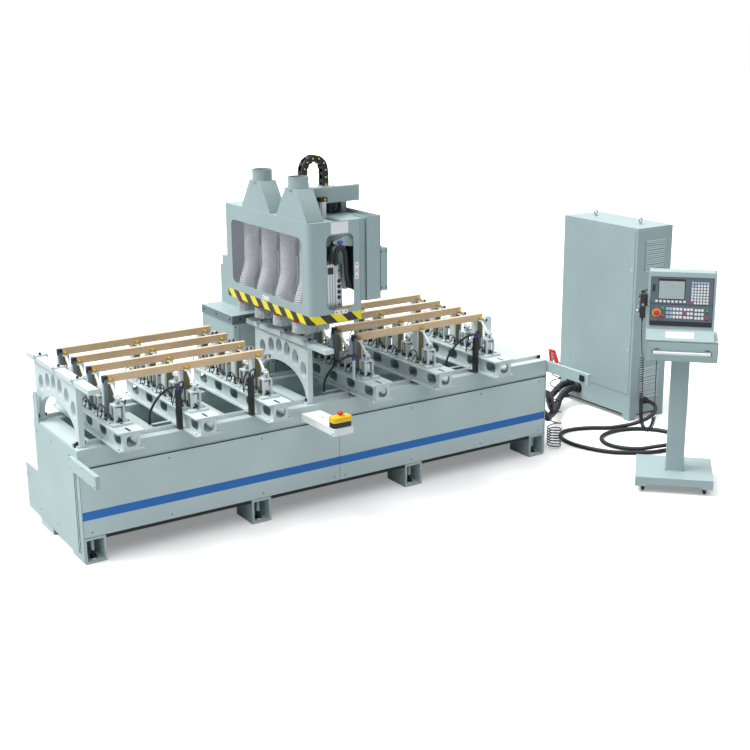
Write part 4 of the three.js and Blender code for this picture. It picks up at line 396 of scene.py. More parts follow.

# %% [markdown]
# ## Cords first
# Two thick black hoses carry power and air from the bed to the cabinet, a black cable lies on the
# floor in a wide loop between cabinet and console, a small spiral air hose hangs from the right arm
# on a pile of its own turns, and a curly lead hangs from the hand pendant. Each is one open curve
# with a round section, because that bends as a real hose does. The smooth curve passes through a
# few given points that were read from the picture.


# %% Smooth curve through points
def through(points, count):
    """A smooth curve through the given points, as count + 1 places along it."""
    known = [Vector(p) for p in points]
    full = [2 * known[0] - known[1], *known, 2 * known[-1] - known[-2]]
    spots = []
    for i in range(count + 1):
        place = (len(known) - 1) * i / count
        k = min(int(place), len(known) - 2)
        t = place - k
        a, b, c, d = full[k:k + 4]
        steps = [max((q - p).length ** 0.5, 1e-6) for p, q in ((a, b), (b, c), (c, d))]
        m1 = ((b - a) / steps[0] - (c - a) / (steps[0] + steps[1]) + (c - b) / steps[1]) * steps[1]
        m2 = ((c - b) / steps[1] - (d - b) / (steps[1] + steps[2]) + (d - c) / steps[2]) * steps[1]
        spots.append(b + m1 * t + (-3 * b + 3 * c - 2 * m1 - m2) * t * t
                     + (2 * b - 2 * c + m1 + m2) * t ** 3)
    return spots


def length_of(spots):
    return sum((b - a).length for a, b in zip(spots, spots[1:]))


def tube(name, spots, radius, finish, body, smooth=True, sides=6):
    """One open curve with a round section, which rides on a body."""
    curve = bpy.data.curves.new(name, "CURVE")
    curve.dimensions = "3D"
    curve.bevel_depth = radius
    curve.bevel_resolution = sides
    curve.use_fill_caps = True
    curve.resolution_u = 4
    line = curve.splines.new("BEZIER" if smooth else "POLY")
    points = line.bezier_points if smooth else line.points
    points.add(len(spots) - 1)
    for point, spot in zip(points, spots):
        point.co = spot if smooth else (*spot, 1)
        if smooth:
            point.handle_left_type = point.handle_right_type = "AUTO"
    curve.materials.append(finish)
    made = bpy.data.objects.new(name, curve)
    bpy.context.scene.collection.objects.link(made)
    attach(made, body)
    return made


print("cord curve ready")

# %% [markdown]
# The console stands turned by 45 degrees, so its pieces are counted in its own frame: u to the
# right along its front, v to the back and w up. The same helper later places all of its details.

# %% Console frame
TURN = Matrix.Translation(at(3458, -920, 0)) @ Matrix.Rotation(math.radians(-45), 4, "Z")


def on_console(u, v, w):
    return TURN @ (Vector((u, v, w)) / 1000)


print("console corner", [round(v, 3) for v in on_console(0, 0, 0)])

# %% The two hoses and the floor cable
hoses = {
    "power_hose_upper": [(3460.3, 150, 396), (3540.3, 150, 396), (3670.3, 220, 356), (3860.3, 385, 178),
                         (4100.3, 693, 128), (4287.7, 853, 108), (4397.7, 883, 148), (4467.7, 883, 148)],
    "power_hose_lower": [(3460.3, 150, 270), (3540.3, 150, 270), (3670.3, 220, 180), (3860.3, 410, 105),
                         (4100.3, 610, 70), (4287.7, 770, 92), (4397.7, 800, 132), (4467.7, 800, 132)],
}
for name, route in hoses.items():
    spots = [at(*p) for p in through(route, 35)]
    hose = tube(name + "_rubber", spots, 0.027, HOSE_RUBBER, "base")
    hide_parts(name)
    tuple(spots[0])
    length_of(spots)
    print(name, round(length_of(spots), 3), "m")
REST = 16
drop = [(4640, 181.7, 150), (4640, 138, 150), (4633, 92, 146), (4611, 50, 138), (4578, 17, 127),
        (4536, -5, 113), (4490, -12, 96), (4445, -6, 80), (4403, 11, 65), (4364, 36, 50), (4326, 66, 38),
        (4288, 95, 28), (4250, 124, 20)]
floor_points = [(4207, 153), (4150, 192), (4080, 232), (3998, 262), (3900, 268), (3822, 232), (3766, 160),
                (3744, 62), (3750, -36), (3769, -105), (3810, -205), (3869, -290), (3968, -372),
                (4070, -430), (4177, -461), (4290, -458), (4401, -413), (4484, -340), (4522, -247),
                (4509, -150), (4460, -64), (4394, 0), (4282, 52), (4146, 58), (4022, 6), (3960, -92),
                (3958, -195), (4010, -290)]
rise = [(4072, -350, 19), (4134, -400, 34), (4174, -474, 60), (4180, -562, 92), (4144, -646, 122),
        (4072, -722, 148)]
spots = [at(*p) for p in drop + [(x, y, REST) for x, y in floor_points] + rise]
spots += [on_console(253, 404, 172), on_console(253, 339, 180), on_console(253, 274.3, 180)]
spots = through(spots, 98)
cable = tube("floor_cable_rubber", spots, 0.015, RUBBER, "base")
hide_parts("floor_cable")
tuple(spots[0])
length_of(spots)
print("floor cable", round(length_of(spots), 3), "m")


# %% Spiral air hose
AIR_TURNS, AIR_STEPS, HANGING = 12, 24, 0.44


def air_winding(i):
    """A point of the winding: the first part hangs open, the rest is a close pile."""
    share, turn = i / (AIR_TURNS * AIR_STEPS), 2 * math.pi * i / AIR_STEPS
    hang, pile = min(share / HANGING, 1), max((share - HANGING) / (1 - HANGING), 0)
    radius = 34 + 16 * hang
    return Vector((3618 + radius * math.cos(turn), 76 + radius * math.sin(turn),
                   600 - 450 * hang - 136 * pile))


winding = [air_winding(i) for i in range(AIR_TURNS * AIR_STEPS + 1)]
lead = [(3484.3, 56, 644), (3496.3, 56, 644), (3568.15, 56, 644), (3632, 66, 640), (3652, 72, 620)]
spots = [at(*p) for p in lead + winding]
air = tube("air_spiral_hose", spots, 0.004, ABS_BLACK, "base", smooth=False, sides=3)
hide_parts("air_spring_hose")
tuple(spots[0])
length_of(spots)
print("air hose", round(length_of(spots), 3), "m")

# %% Curly lead of the hand pendant
lead_line = [(-8, 1165.7), (-8, 1090), (-4, 1010), (2, 930), (6, 800), (10, 667), (14, 540), (26, 448),
             (56, 403), (86, 432), (100, 500), (101, 590), (99, 700), (98, 810), (98, 905.7)]
lead_line = [(u, 97, w) for u, w in lead_line]
fine = through(lead_line, 720)
reach = [0]
for a, b in zip(fine, fine[1:]):
    reach.append(reach[-1] + (b - a).length)


def on_lead(s):
    """The place and the direction at a length s along the lead's middle line."""
    k = min(max(bisect.bisect(reach, s) - 1, 0), len(fine) - 2)
    step = fine[k + 1] - fine[k]
    return fine[k] + step * ((s - reach[k]) / (reach[k + 1] - reach[k])), step.normalized()


CURL, OPEN_PITCH, TIGHT_PITCH, PER_TURN = 11, 16, 7.5, 14
FIRST, LAST, RAMP = 216, 938, 60
spots = [on_lead(k * FIRST / 14)[0] for k in range(14)]
s, turn = FIRST + 4, 0
while s < LAST:
    spot, along = on_lead(s)
    other = along.cross(Vector((0, 1, 0)))
    share = max(min((s - FIRST) / RAMP, (LAST - s) / RAMP, 1), 0)
    share = share * share * (3 - 2 * share)
    spots.append(spot + CURL * share * (math.cos(turn) * Vector((0, 1, 0)) + math.sin(turn) * other))
    drawn = min(max((s - 440) / 110, 0), 1)
    s += (OPEN_PITCH + (TIGHT_PITCH - OPEN_PITCH) * drawn) / PER_TURN + 5 * (1 - share)
    turn += share * 2 * math.pi / PER_TURN
spots += [on_lead(LAST + 8 + k * (reach[-1] - LAST - 8) / 14)[0] for k in range(15)]
spots = [on_console(*p) for p in spots]
lead = tube("pendant_curly_lead", spots, 0.0026, RUBBER, "base", smooth=False, sides=2)
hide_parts("pendant_cord")
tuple(spots[0])
length_of(spots)
print("pendant lead", round(length_of(spots), 3), "m in", len(spots), "points")

# %% [markdown]
# ## Shapes
# Most pieces are plates, bars and turned parts, so they are written as lists of points and faces in
# millimetres. A form gathers many of them with their finishes and becomes one piece, with its
# sharp edges rounded a little, as folded sheet and machined edges are, so that they catch light.


# %% Outlines
def rounded(u0, u1, v0, v1, radius, steps=5):
    """The outline of a rectangle with round corners."""
    corners = ((u1 - radius, v0 + radius, -90), (u1 - radius, v1 - radius, 0),
               (u0 + radius, v1 - radius, 90), (u0 + radius, v0 + radius, 180))
    return [(u + radius * math.cos(math.radians(start + 90 * k / steps)),
             v + radius * math.sin(math.radians(start + 90 * k / steps)))
            for u, v, start in corners for k in range(steps + 1)]


def oval(u, v, wide, tall=None, steps=28):
    """The outline of a circle, or of an ellipse where a second radius is given."""
    tall = wide if tall is None else tall
    return [(u + wide * math.cos(2 * math.pi * k / steps), v + tall * math.sin(2 * math.pi * k / steps))
            for k in range(steps)]


def centred(u, v, half_u, half_v, radius, steps):
    """The outline of a rounded rectangle that is given by its middle and its half sizes."""
    return rounded(u - half_u, u + half_u, v - half_v, v + half_v, radius, steps)


def hexagon(u, v, radius):
    return oval(u, v, radius, steps=6)


def ring_faces(rings, sides):
    """The faces between rings of points that follow each other, as on a tube."""
    return [(i * sides + k, i * sides + (k + 1) % sides, (i + 1) * sides + (k + 1) % sides,
             (i + 1) * sides + k) for i in range(rings - 1) for k in range(sides)]


def outward(mesh):
    """Turns every face of a mesh to look outward."""
    tidy = bmesh.new()
    tidy.from_mesh(mesh)
    bmesh.ops.recalc_face_normals(tidy, faces=tidy.faces)
    tidy.to_mesh(mesh)
    tidy.free()


def soften(made, edge, sharp=38):
    """Rounds the sharp edges of a piece by a few tenths of a millimetre or more."""
    soft = made.modifiers.new("soft edges", "BEVEL")
    soft.width, soft.segments, soft.limit_method = edge / 1000, 2, "ANGLE"
    soft.angle_limit, soft.harden_normals = math.radians(sharp), True


ONTO = {"x": lambda u, v, w: (w, u, v), "y": lambda u, v, w: (u, w, v), "z": lambda u, v, w: (u, v, w)}
UPWARD, FRONTWARD, BACKWARD, LEFTWARD = (0, 0, 1), (0, -1, 0), (0, 1, 0), (-1, 0, 0)
print("outline helpers: rounded, centred, oval, hexagon")


# %% A form made of many parts
class Form:
    """Gathers points in millimetres, faces and finishes, and becomes one piece."""

    def __init__(self, place=at):
        self.place = place
        self.spots, self.faces, self.marks, self.looks = [], [], [], []

    def add(self, spots, faces, look):
        if look not in self.looks:
            self.looks.append(look)
        start = len(self.spots)
        self.spots += [self.place(*s) for s in spots]
        self.faces += [[start + i for i in face] for face in faces]
        self.marks += [self.looks.index(look)] * len(faces)
        return self

    def box(self, x0, x1, y0, y1, z0, z1, look):
        spots = [(x, y, z) for x in (x0, x1) for y in (y0, y1) for z in (z0, z1)]
        faces = [(0, 1, 3, 2), (4, 6, 7, 5), (0, 4, 5, 1), (2, 3, 7, 6), (0, 2, 6, 4), (1, 5, 7, 3)]
        return self.add(spots, faces, look)

    def prism(self, axis, outline, low, high, look):
        """An outline without holes, drawn out along an axis."""
        n = len(outline)
        spots = [ONTO[axis](u, v, w) for w in (low, high) for u, v in outline]
        faces = [list(range(n))[::-1], list(range(n, 2 * n))]
        faces += [(i, (i + 1) % n, n + (i + 1) % n, n + i) for i in range(n)]
        return self.add(spots, faces, look)

    def closed(self, rings, sides):
        """The faces of a closed tube: its sides and its two ends."""
        ends = [list(range(sides))[::-1], [(rings - 1) * sides + k for k in range(sides)]]
        return ring_faces(rings, sides) + ends

    def turned(self, start, end, profile, look, sides=20):
        """A turned part: rows of (share of the length, radius) between two places."""
        start, end = Vector(start), Vector(end)
        along = (end - start).normalized()
        side = along.orthogonal().normalized()
        other = along.cross(side)
        span = (end - start).length
        spots = [start + along * (t * span) + radius * (u * side + v * other)
                 for t, radius in profile for u, v in oval(0, 0, 1, steps=sides)]
        return self.add(spots, self.closed(len(profile), sides), look)

    def rod(self, start, end, radius, look, sides=16, top=None):
        return self.turned(start, end, [(0, radius), (1, radius if top is None else top)], look, sides)

    def plate(self, axis, outlines, low, high, look):
        """A plate across an axis: its first outline is the edge and the others are holes."""
        curve = bpy.data.curves.new("cut", "CURVE")
        curve.dimensions, curve.fill_mode, curve.extrude = "2D", "BOTH", 0.5
        for outline in outlines:
            line = curve.splines.new("POLY")
            line.points.add(len(outline) - 1)
            for point, (u, v) in zip(line.points, outline):
                point.co = (u, v, 0, 1)
            line.use_cyclic_u = True
        holder = bpy.data.objects.new("cut", curve)
        mesh = bpy.data.meshes.new_from_object(holder)
        spots = [ONTO[axis](s.co.x, s.co.y, high if s.co.z > 0 else low) for s in mesh.vertices]
        self.add(spots, [list(face.vertices) for face in mesh.polygons], look)
        for data, store in ((holder, bpy.data.objects), (curve, bpy.data.curves), (mesh, bpy.data.meshes)):
            store.remove(data)
        return self

    def pipe(self, points, radius, look, sides=8, count=None):
        """A bent round tube through the given points, closed at both ends."""
        spots = [Vector(p) for p in through(points, count or 6 * len(points))]
        rings, side = [], None
        for i, spot in enumerate(spots):
            along = (spots[min(i + 1, len(spots) - 1)] - spots[max(i - 1, 0)]).normalized()
            side = along.orthogonal() if side is None else side - along * side.dot(along)
            side.normalize()
            other = along.cross(side)
            rings += [spot + radius * (u * side + v * other) for u, v in oval(0, 0, 1, steps=sides)]
        return self.add(rings, self.closed(len(spots), sides), look)

    def screw(self, spot, way, radius=5, depth=3, look=None):
        """A socket head screw: a low button with a hollow in it."""
        spot, way = Vector(spot), Vector(way).normalized()
        profile = [(0, radius), (0.6, radius), (1, radius * 0.75), (1, radius * 0.45), (0.45, radius * 0.4)]
        return self.turned(spot, spot + way * depth, profile, look or BLACK_STEEL, 12)

    def screws(self, xs, ys, zs, way, radius=5, depth=3, look=None):
        """One screw at every crossing of the given places."""
        for spot in itertools.product(xs, ys, zs):
            self.screw(spot, way, radius, depth, look)

    def make(self, name, body, replaces=None, edge=1.2, sharp=38):
        """Makes the piece, softens its edges and lets it ride on its body."""
        mesh = bpy.data.meshes.new(name)
        mesh.from_pydata(self.spots, [], self.faces)
        for look in self.looks:
            mesh.materials.append(look)
        mesh.polygons.foreach_set("material_index", self.marks)
        mesh.polygons.foreach_set("use_smooth", [True] * len(mesh.polygons))
        outward(mesh)
        mesh.set_sharp_from_angle(angle=math.radians(sharp))
        made = bpy.data.objects.new(name, mesh)
        bpy.context.scene.collection.objects.link(made)
        if edge:
            soften(made, edge, sharp)
        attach(made, body)
        if replaces:
            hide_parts(replaces)
        print("%-24s %6d faces" % (name, len(mesh.polygons)))
        return made


# %% [markdown]
# ## Beams and clamp stands
# Six welded beams slide on the bed's rails. Each has two webs with long rounded windows, flanges
# above and below, and a rounded opening in its front. On it stand four clamps: a slotted foot, a
# cage of four posts round a profile cylinder, a fork, and a white lever with a yellow brown pad
# that presses the blank against a fence. Everything on a beam is one form, because it all slides
# together. The lever nearest the operator has a joint of its own, so it is made apart.

# %% One beam's body
STANDS = [54 + 242 * row for row in range(4)]
OLIVE = moulded("olive polyurethane", 0x6E6B4C, 0.55, bloom=0.12)
BEAM_TOP, FOOT_TOP, PIN_Z, PAD_Z, SENSOR_Z = 835, 847, 980, 1071.4, 1042


def beam_body(form, x):
    windows = [rounded(y - 52, y + 52, 747, 810, 27) for y in (-147, 67, 281, 495, 709)]
    for web in (x - 46.5, x + 46.5):
        form.plate("x", [rounded(-234.5, 857.5, 732, 825, 2, 1)] + windows, web - 3.5, web + 3.5, PALE)
    flange = rounded(x - 78, x + 78, -235, 858, 6, 3)
    end_plate = rounded(x - 49.3, x + 49.3, 731, 826, 2, 1)
    form.plate("z", [flange, centred(x, -186, 8, 36, 7.9, 4)], 825, BEAM_TOP, PALE)
    # A black insert fills the slot in the top plate: painted shade for the dark inside of the open slot.
    form.prism("z", centred(x, -186, 7.9, 35.9, 7.8, 4), 826, 834.2, BLACK_STEEL)
    form.plate("z", [flange], 722, 732, PALE)
    form.plate("y", [end_plate, rounded(x - 32, x + 32, 746, 811, 25, 7)], -235, -228, PALE)
    form.plate("y", [end_plate, oval(x, 778.5, 30)], 850, 857, PALE)
    for y in (-40, 174, 388, 602):
        form.box(x - 43.5, x + 43.5, y - 4, y + 4, 732, 825, PALE)
    for y in (62.5, 101.5, 690.5, 729.5):
        form.box(x - 62, x + 62, y - 6, y + 6, 703, 721.9, BLACK_STEEL)
    form.screws((x - 66, x + 66), (-205, 60, 820), (731.5,), UPWARD, 6)


print("clamp stands of each beam at y =", STANDS)


# %% One clamp stand
def clamp_stand(form, x, y):
    cage, hinge = y - 100, y - 110
    slots = ((y - 150, 14), (y + 34, 12))
    foot = [rounded(x - 64, x + 64, y - 168, y + 52, 5, 3)]
    form.plate("z", foot + [centred(x, v, 7, half, 6.9, 4) for v, half in slots], BEAM_TOP, FOOT_TOP, PALE)
    # Black inserts fill the foot's two slots: painted shade for the dark inside of the open slots.
    for v, half in slots:
        form.prism("z", centred(x, v, 6.9, half - 0.1, 6.8, 4), 835.4, 846.3, BLACK_STEEL)
    for u, v in itertools.product((x - 27.5, x + 27.5), (cage - 27.5, cage + 27.5)):
        form.box(u - 5.5, u + 5.5, v - 5.5, v + 5.5, FOOT_TOP, 941, PALE)
    form.plate("z", [centred(x, cage, 33, 33, 4, 3)], 940, 950, PALE)
    grooved = []
    for k in range(40):
        a = 2 * math.pi * k / 40
        reach = min(22 / max(abs(math.cos(a)), abs(math.sin(a))), 25.5) - (2.2 if k % 5 == 0 else 0)
        grooved.append((x + reach * math.cos(a), cage + reach * math.sin(a)))
    form.prism("z", grooved, 858, 930, ALUMINIUM)
    for low, high in ((FOOT_TOP, 858.5), (929.5, 940)):
        form.prism("z", centred(x, cage, 21, 21, 5, 3), low, high, BLACK_STEEL)
    for z, side in ((866, -1), (920, 1)):
        form.rod((x + side * 20, cage, z), (x + side * 38, cage, z), 5.5, BLACK_STEEL, 10)
        form.turned((x + side * 36, cage, z), (x + side * 49, cage, z),
                    [(0, 7), (0.8, 7), (1, 5)], ABS_BLACK, 12)
        form.rod((x + side * 42, cage, z), (x + side * 42, cage, z + 17), 6, ABS_BLACK, 12)
    form.rod((x, cage - 19, 866), (x, cage - 38, 866), 7, ABS_BLACK, 12)
    form.turned((x, cage - 36, 866), (x, cage - 45, 866), [(0, 9), (0.8, 9), (1, 6)], BLACK_STEEL, 12)
    form.rod((x, cage, 940), (x, hinge, 962), 7, CHROME, 12)
    fork = [(hinge + v, z) for v, z in ((-11, 950), (11, 950), (11, 984), (6, 992), (-6, 992), (-11, 984))]
    for cheek in (x - 12.2, x + 12.2):
        form.prism("x", fork, cheek - 4.6, cheek + 4.6, PALE)
    form.rod((x - 27, hinge, PIN_Z), (x + 27, hinge, PIN_Z), 6, BLACK_STEEL, 14)
    for post in (x - 25.5, x + 25.5):
        form.box(post - 5.5, post + 5.5, y - 12, y + 44, FOOT_TOP, 1054.7, PALE)
    form.box(x - 20.5, x + 20.5, y - 9, y + 40, 860, 1052, OLIVE)
    form.box(x - 31, x + 31, y + 14.6, y + 22, 1040, 1086, DUSK)
    form.box(x - 24, x + 24, y + 21, y + 44, 1030, 1082, PALE)
    form.screw((x, y + 44, 1070), BACKWARD, 5)
    form.screws((x - 56, x + 56), (y - 120,), (FOOT_TOP,), UPWARD, 5.5)
    form.screws((x - 52, x + 52), (y + 44,), (FOOT_TOP,), UPWARD, 5.5)


print("clamp stand ready: foot, cage, cylinder, fork and fence")


# %% One clamp lever
def clamp_lever(form, x, y):
    hinge, head = y - 110, y - 27
    form.prism("x", [(hinge - 5.5, 978), (hinge + 6.5, 976), (head + 6.5, 1058), (head + 5, 1064),
                     (head - 6, 1064), (head - 6.5, 1058)], x - 7, x + 7, WHITE)
    form.rod((x - 7, hinge, PIN_Z), (x + 7, hinge, PIN_Z), 10.4, WHITE, 20)
    for spot in ((hinge + 14, 996), (head, 1056)):
        form.turned((x - 17, *spot), (x + 17, *spot), [(0, 4.5), (0.1, 6), (0.9, 6), (1, 4.5)], WHITE, 14)
    front, back = y - 39.8, y - 14.4
    form.turned((x, front, PAD_Z), (x, back, PAD_Z),
                [(0, 6), (0.15, 9.5), (0.4, 10), (0.45, 14.5), (0.9, 15), (1, 14)], PAD, 20)
    form.rod((x, front + 8, PAD_Z), (x, front + 8, 1060), 5, CHROME, 12)


print("clamp lever ready: bar, 3 pins and pad")

# %% [markdown]
# Air lines run from each cylinder's fittings down into a slotted black duct. They are short fixed
# lines, so they belong to the beam's form. Violet and blue rings mark the valve fittings.


# %% Duct and air lines
def duct(form, x):
    left = x - 106
    form.box(left + 0.5, left + 27.5, -51.5, -18.5, 728, 962, RUBBER)
    for k in range(14):
        z = 744 + k * 15.5
        form.box(left - 0.4, left + 3, -47, -23, z, z + 7, ABS_BLACK)
        form.box(left + 4, left + 24, -52.4, -50, z, z + 7, ABS_BLACK)
    form.box(left + 20, left + 56, -50, -20, 829, 841, PALE)
    for k, (u, v) in enumerate(((6, -44), (16, -36), (9, -27), (22, -46))):
        form.rod((left + u, v, 955), (left + u, v, 972 + 5 * k), 4.2,
                 (FITTING_PURPLE, ABS_BLACK)[k % 2], 10)


def air_lines(form, x, ducted):
    chance = random.Random(int(x))
    for cage in (y - 100 for y in STANDS):
        for z, side in ((883, -1), (937, 1)):
            sway, rise = chance.uniform(-8, 8), chance.uniform(18, 46)
            upper = ((42, 0, z), (42, 0, z + 8), (58 + sway / 2, 24, z + 12 + sway), (66, 62, 900),
                     (60, 96, 862), (58, 130, 843))
            lower = ((50, 60, 880), (54, 64, 880 + rise), (64 + sway / 2, 92, 892 + rise),
                     (68, 128, 884), (62, 152, 846))
            for route in (upper, lower):
                form.pipe([(x + side * u, cage + v, w) for u, v, w in route], 3.6, RUBBER, 6)
        for u, look in ((x - 50, ABS_BLACK), (x + 50, FITTING_PURPLE)):
            form.rod((u, cage + 60, BEAM_TOP), (u, cage + 60, 870), 6, DUSK, 10)
            form.turned((u, cage + 60, 868), (u, cage + 60, 884), [(0, 8), (0.7, 8), (1, 5)], look, 12)
            form.rod((u, cage + 44, 852), (u, cage + 78, 852), 5.5, ABS_BLACK, 12)
    if ducted:
        left = x - 106
        form.pipe([(left + 14, -35, 955), (left + 16, -33, 1000), (left + 52, -20, 1004),
                   (left + 64, 8, 960), (left + 60, 40, 900), (left + 58, 60, 843)], 5, RUBBER, 8)
        form.pipe([(left + 18, -30, 955), (left + 12, -10, 985), (left + 10, 30, 960), (left + 14, 64, 880),
                   (left + 34, 96, 838)], 4, RUBBER, 8)


print("air lines of", len(STANDS), "stands ready")


# %% Supply hose, end stop and sensor
def supply_hose(form, x):
    form.box(x - 214, x - 70, 132, 152, 722.4, 727, PALE)
    form.rod((x - 204, 142, 727), (x - 204, 142, 746), 9, BLACK_STEEL, 16)
    form.pipe([(x - 204, 142, 744), (x - 203, 136, 790), (x - 192, 108, 850), (x - 170, 66, 912),
               (x - 140, 16, 962), (x - 112, -22, 984), (x - 92, -36, 986)], 7, RUBBER, 12, 40)
    form.turned((x - 100, -32, 986), (x - 82, -38, 984), [(0, 9), (0.5, 11), (1, 8)], FITTING_PURPLE, 14)
    form.rod((x - 86, -38, 984), (x - 90, -38, 956), 6, ABS_BLACK, 12)
    for u, v, z in ((-98, -44, 972), (-80, -24, 978), (-92, -52, 988), (-74, -40, 966)):
        form.rod((x + u, v, z - 14), (x + u, v, z + 10), 6.5, FITTING_PURPLE, 12)
        form.turned((x + u, v, z + 8), (x + u, v, z + 20), [(0, 5), (0.5, 7.5), (1, 6)], ABS_BLACK, 12)


def end_stop(form, edge, y):
    form.box(edge - 26, edge - 4, y - 22, y - 1, BEAM_TOP, 1078, DUSK)
    form.box(edge - 30, edge - 6, y - 21.5, y + 10.5, 1059, 1096.5, BLACK_STEEL)
    form.box(edge - 7, edge - 0.4, y - 14, y + 8, 1062, 1094, RUBBER)
    form.screw((edge - 18, y - 21.5, 1078), FRONTWARD, 5)


def sensor(form, beam, edge, y):
    form.box(beam, edge + 66, y + 22.5, y + 35.5, 1017.5, 1031, PALE)
    form.box(edge + 12, edge + 60, y + 2, y + 33, 1031, 1053, ALUMINIUM)
    form.rod((edge + 10.5, y + 12, SENSOR_Z), (edge + 66, y + 12, SENSOR_Z), 9.5, ALUMINIUM, 16)
    form.rod((edge + 22, y + 6, SENSOR_Z), (edge + 22, y + 6, 1054), 6, ABS_BLACK, 10)
    form.rod((edge + 50, y + 4, SENSOR_Z), (edge + 50, y + 4, 1054), 6, ABS_BLACK, 10)
    form.rod((edge + 18, y - 1.5, SENSOR_Z), (edge + 18, y + 8, SENSOR_Z), 5, ABS_BLACK, 12, 7)
    form.rod((edge + 46, y - 1.5, SENSOR_Z), (edge + 46, y + 8, SENSOR_Z), 5, BLACK_STEEL, 12, 7)


print("beam fittings ready: supply hose, end stop, sensor")

# %% Six dressed beams
LEFT, RIGHT, LONG = 225.938, 1904.038, 1006
beams = [LEFT + 12 + 475 * i for i in range(3)] + [RIGHT + 14 + 486 * i for i in range(3)]
for i, x in enumerate(beams):
    form = Form()
    beam_body(form, x)
    for row, y in enumerate(STANDS):
        clamp_stand(form, x, y)
        if row:
            clamp_lever(form, x, y)
        if i in (0, 3):
            end_stop(form, (LEFT, RIGHT)[i // 3], y)
        if i in (2, 5):
            sensor(form, x, (LEFT, RIGHT)[i // 3] + LONG, y)
    if i in (1, 2, 5):
        duct(form, x)
    air_lines(form, x, i in (1, 2, 5))
    if i in (1, 3, 5):
        supply_hose(form, x)
    if i == 3:
        form.box(x - 98, x - 74, -46, -30, 828.6, 840, PALE)
        form.box(x - 97, x - 83, -45, -31, 836, 962, PALE)
    form.make(f"beam_{i + 1}_dressed", f"beam_{i + 1}", f"support_beam_{i + 1}", edge=0.9)
    front = Form()
    clamp_lever(front, x, STANDS[0])
    front.make(f"lever_{i + 1}_white", f"lever_{i + 1}", f"clamp_lever_{i + 1}", edge=0.8)

# %% [markdown]
# ## Arches
# A welded arch stands at the left end of the bed and another in the middle. Each is one thick plate
# cut through with an arch and six oval windows, and has a flat bar on top that carries pinned
# bosses. The bosses set the stops against which blanks are pushed.

# %% The two arches
BED_LONG, MIDDLE_SHARE = 3460, 0.44335
CROWN = [(0.046, 914), (0.205, 970), (0.374, 996), (0.538, 1000), (0.7, 984), (0.886, 948)]


def stop_arch(name, x):
    foot = 722
    opening = [(377 - u, foot + v) for u, v in oval(0, 0, 315, 184, 72)[:37]]
    outer = [(32, foot)] + opening + [(722, foot), (722, 1073), (32, 1073)]
    form = Form()
    windows = [oval(62 + 630 * share, z, 38, 52, 32) for share, z in CROWN]
    form.plate("x", [outer, *windows], x, x + 34, PALE)
    middle = x + 17
    form.box(middle - 31, middle + 31, -204, 816, 1073, 1103, PALE)
    for y in (35.7, 336.6, 652.8):
        form.box(middle - 46, middle + 46, y - 11, y + 11, 1095, 1111, PALE)
        form.turned((middle, y, 1111), (middle, y, 1125), [(0, 8), (0.75, 8), (1, 6.5)], BLACK_STEEL, 14)
        form.screws((middle - 36, middle + 36), (y,), (1111,), UPWARD, 5, 2.5)
    for y0, y1 in ((32, 78), (676, 722)):
        form.box(x, x + 34, y0, y1, 700.3, 722, PALE)
        for bolt in (middle - 22, middle + 22):
            form.box(bolt - 6, bolt + 6, y0 + 2, y1 - 2, 700.6, 712, PALE)
            form.turned((bolt, (y0 + y1) / 2, 712), (bolt, (y0 + y1) / 2, 734),
                        [(0, 5), (0.4, 5), (0.4, 8), (1, 8)], BLACK_STEEL, 12)
    form.make(name + "_dressed", "base", name, edge=1.5)


stop_arch("left_stop_arch", 30)
stop_arch("middle_stop_arch", BED_LONG * MIDDLE_SHARE)

# %% [markdown]
# ## Hood
# The spindles work inside a sheet hood with a clear window, folded round its front left corner.
# It is drawn as one sheet, and its openings are cut out with boolean cutters, so that no seam shows
# where the flat sides run into the round corner. Two hoppers on the roof end in round spigots, where
# the workshop's extraction pipes would push on.

# %% Shell with its openings
H_LEFT, H_RIGHT, H_FRONT, H_BACK, H_LOW, H_HIGH = 1445, 1809, -163, 911, 1256, 1874
SHEET_THICK, CORNER_R = 4, 34


def corner_arc(inset, steps=14):
    """The hood's round corner, from its left side to its front."""
    quarter = slice(2 * steps, 3 * steps + 1)
    return oval(H_LEFT + CORNER_R, H_FRONT + CORNER_R, CORNER_R - inset, steps=4 * steps)[quarter]


def bored(made, cutters, edge):
    """Cuts openings into a piece, removes the cutters and softens the new edges."""
    for cutter in cutters:
        cut = made.modifiers.new("opening", "BOOLEAN")
        cut.object, cut.solver = cutter, "EXACT"
    graph = bpy.context.evaluated_depsgraph_get()
    shaped = bpy.data.meshes.new_from_object(made.evaluated_get(graph))
    made.modifiers.clear()
    made.data = shaped
    for cutter in cutters:
        bpy.data.objects.remove(cutter)
    shaped.set_sharp_from_angle(angle=math.radians(30))
    soften(made, edge)


def cutter(axis, outline, low, high, look):
    form = Form().prism(axis, outline, low, high, look)
    mesh = bpy.data.meshes.new("cutter")
    mesh.from_pydata(form.spots, [], form.faces)
    mesh.materials.append(look)
    outward(mesh)
    made = bpy.data.objects.new("cutter", mesh)
    bpy.context.scene.collection.objects.link(made)
    return made


outside = [(H_LEFT, H_BACK)] + corner_arc(0) + [(H_RIGHT, H_FRONT)]
inside = [(H_RIGHT, H_FRONT + SHEET_THICK)] + corner_arc(SHEET_THICK)[::-1]
inside += [(H_LEFT + SHEET_THICK, H_BACK - SHEET_THICK), (1520, H_BACK - SHEET_THICK), (1520, H_BACK)]
walls = Form().prism("z", outside + inside, H_LOW, H_HIGH, SHEET)
shell = walls.make("hood_shell", "head", "hood", edge=0)
bored(shell, [cutter("x", rounded(-74, 838, 1362, 1775, 42, 8), H_LEFT - 20, H_LEFT + 20, SHEET),
              cutter("y", rounded(1566, 1757, 1334, 1792, 36, 8), H_FRONT - 20, H_FRONT + 20, SHEET)], 1.2)

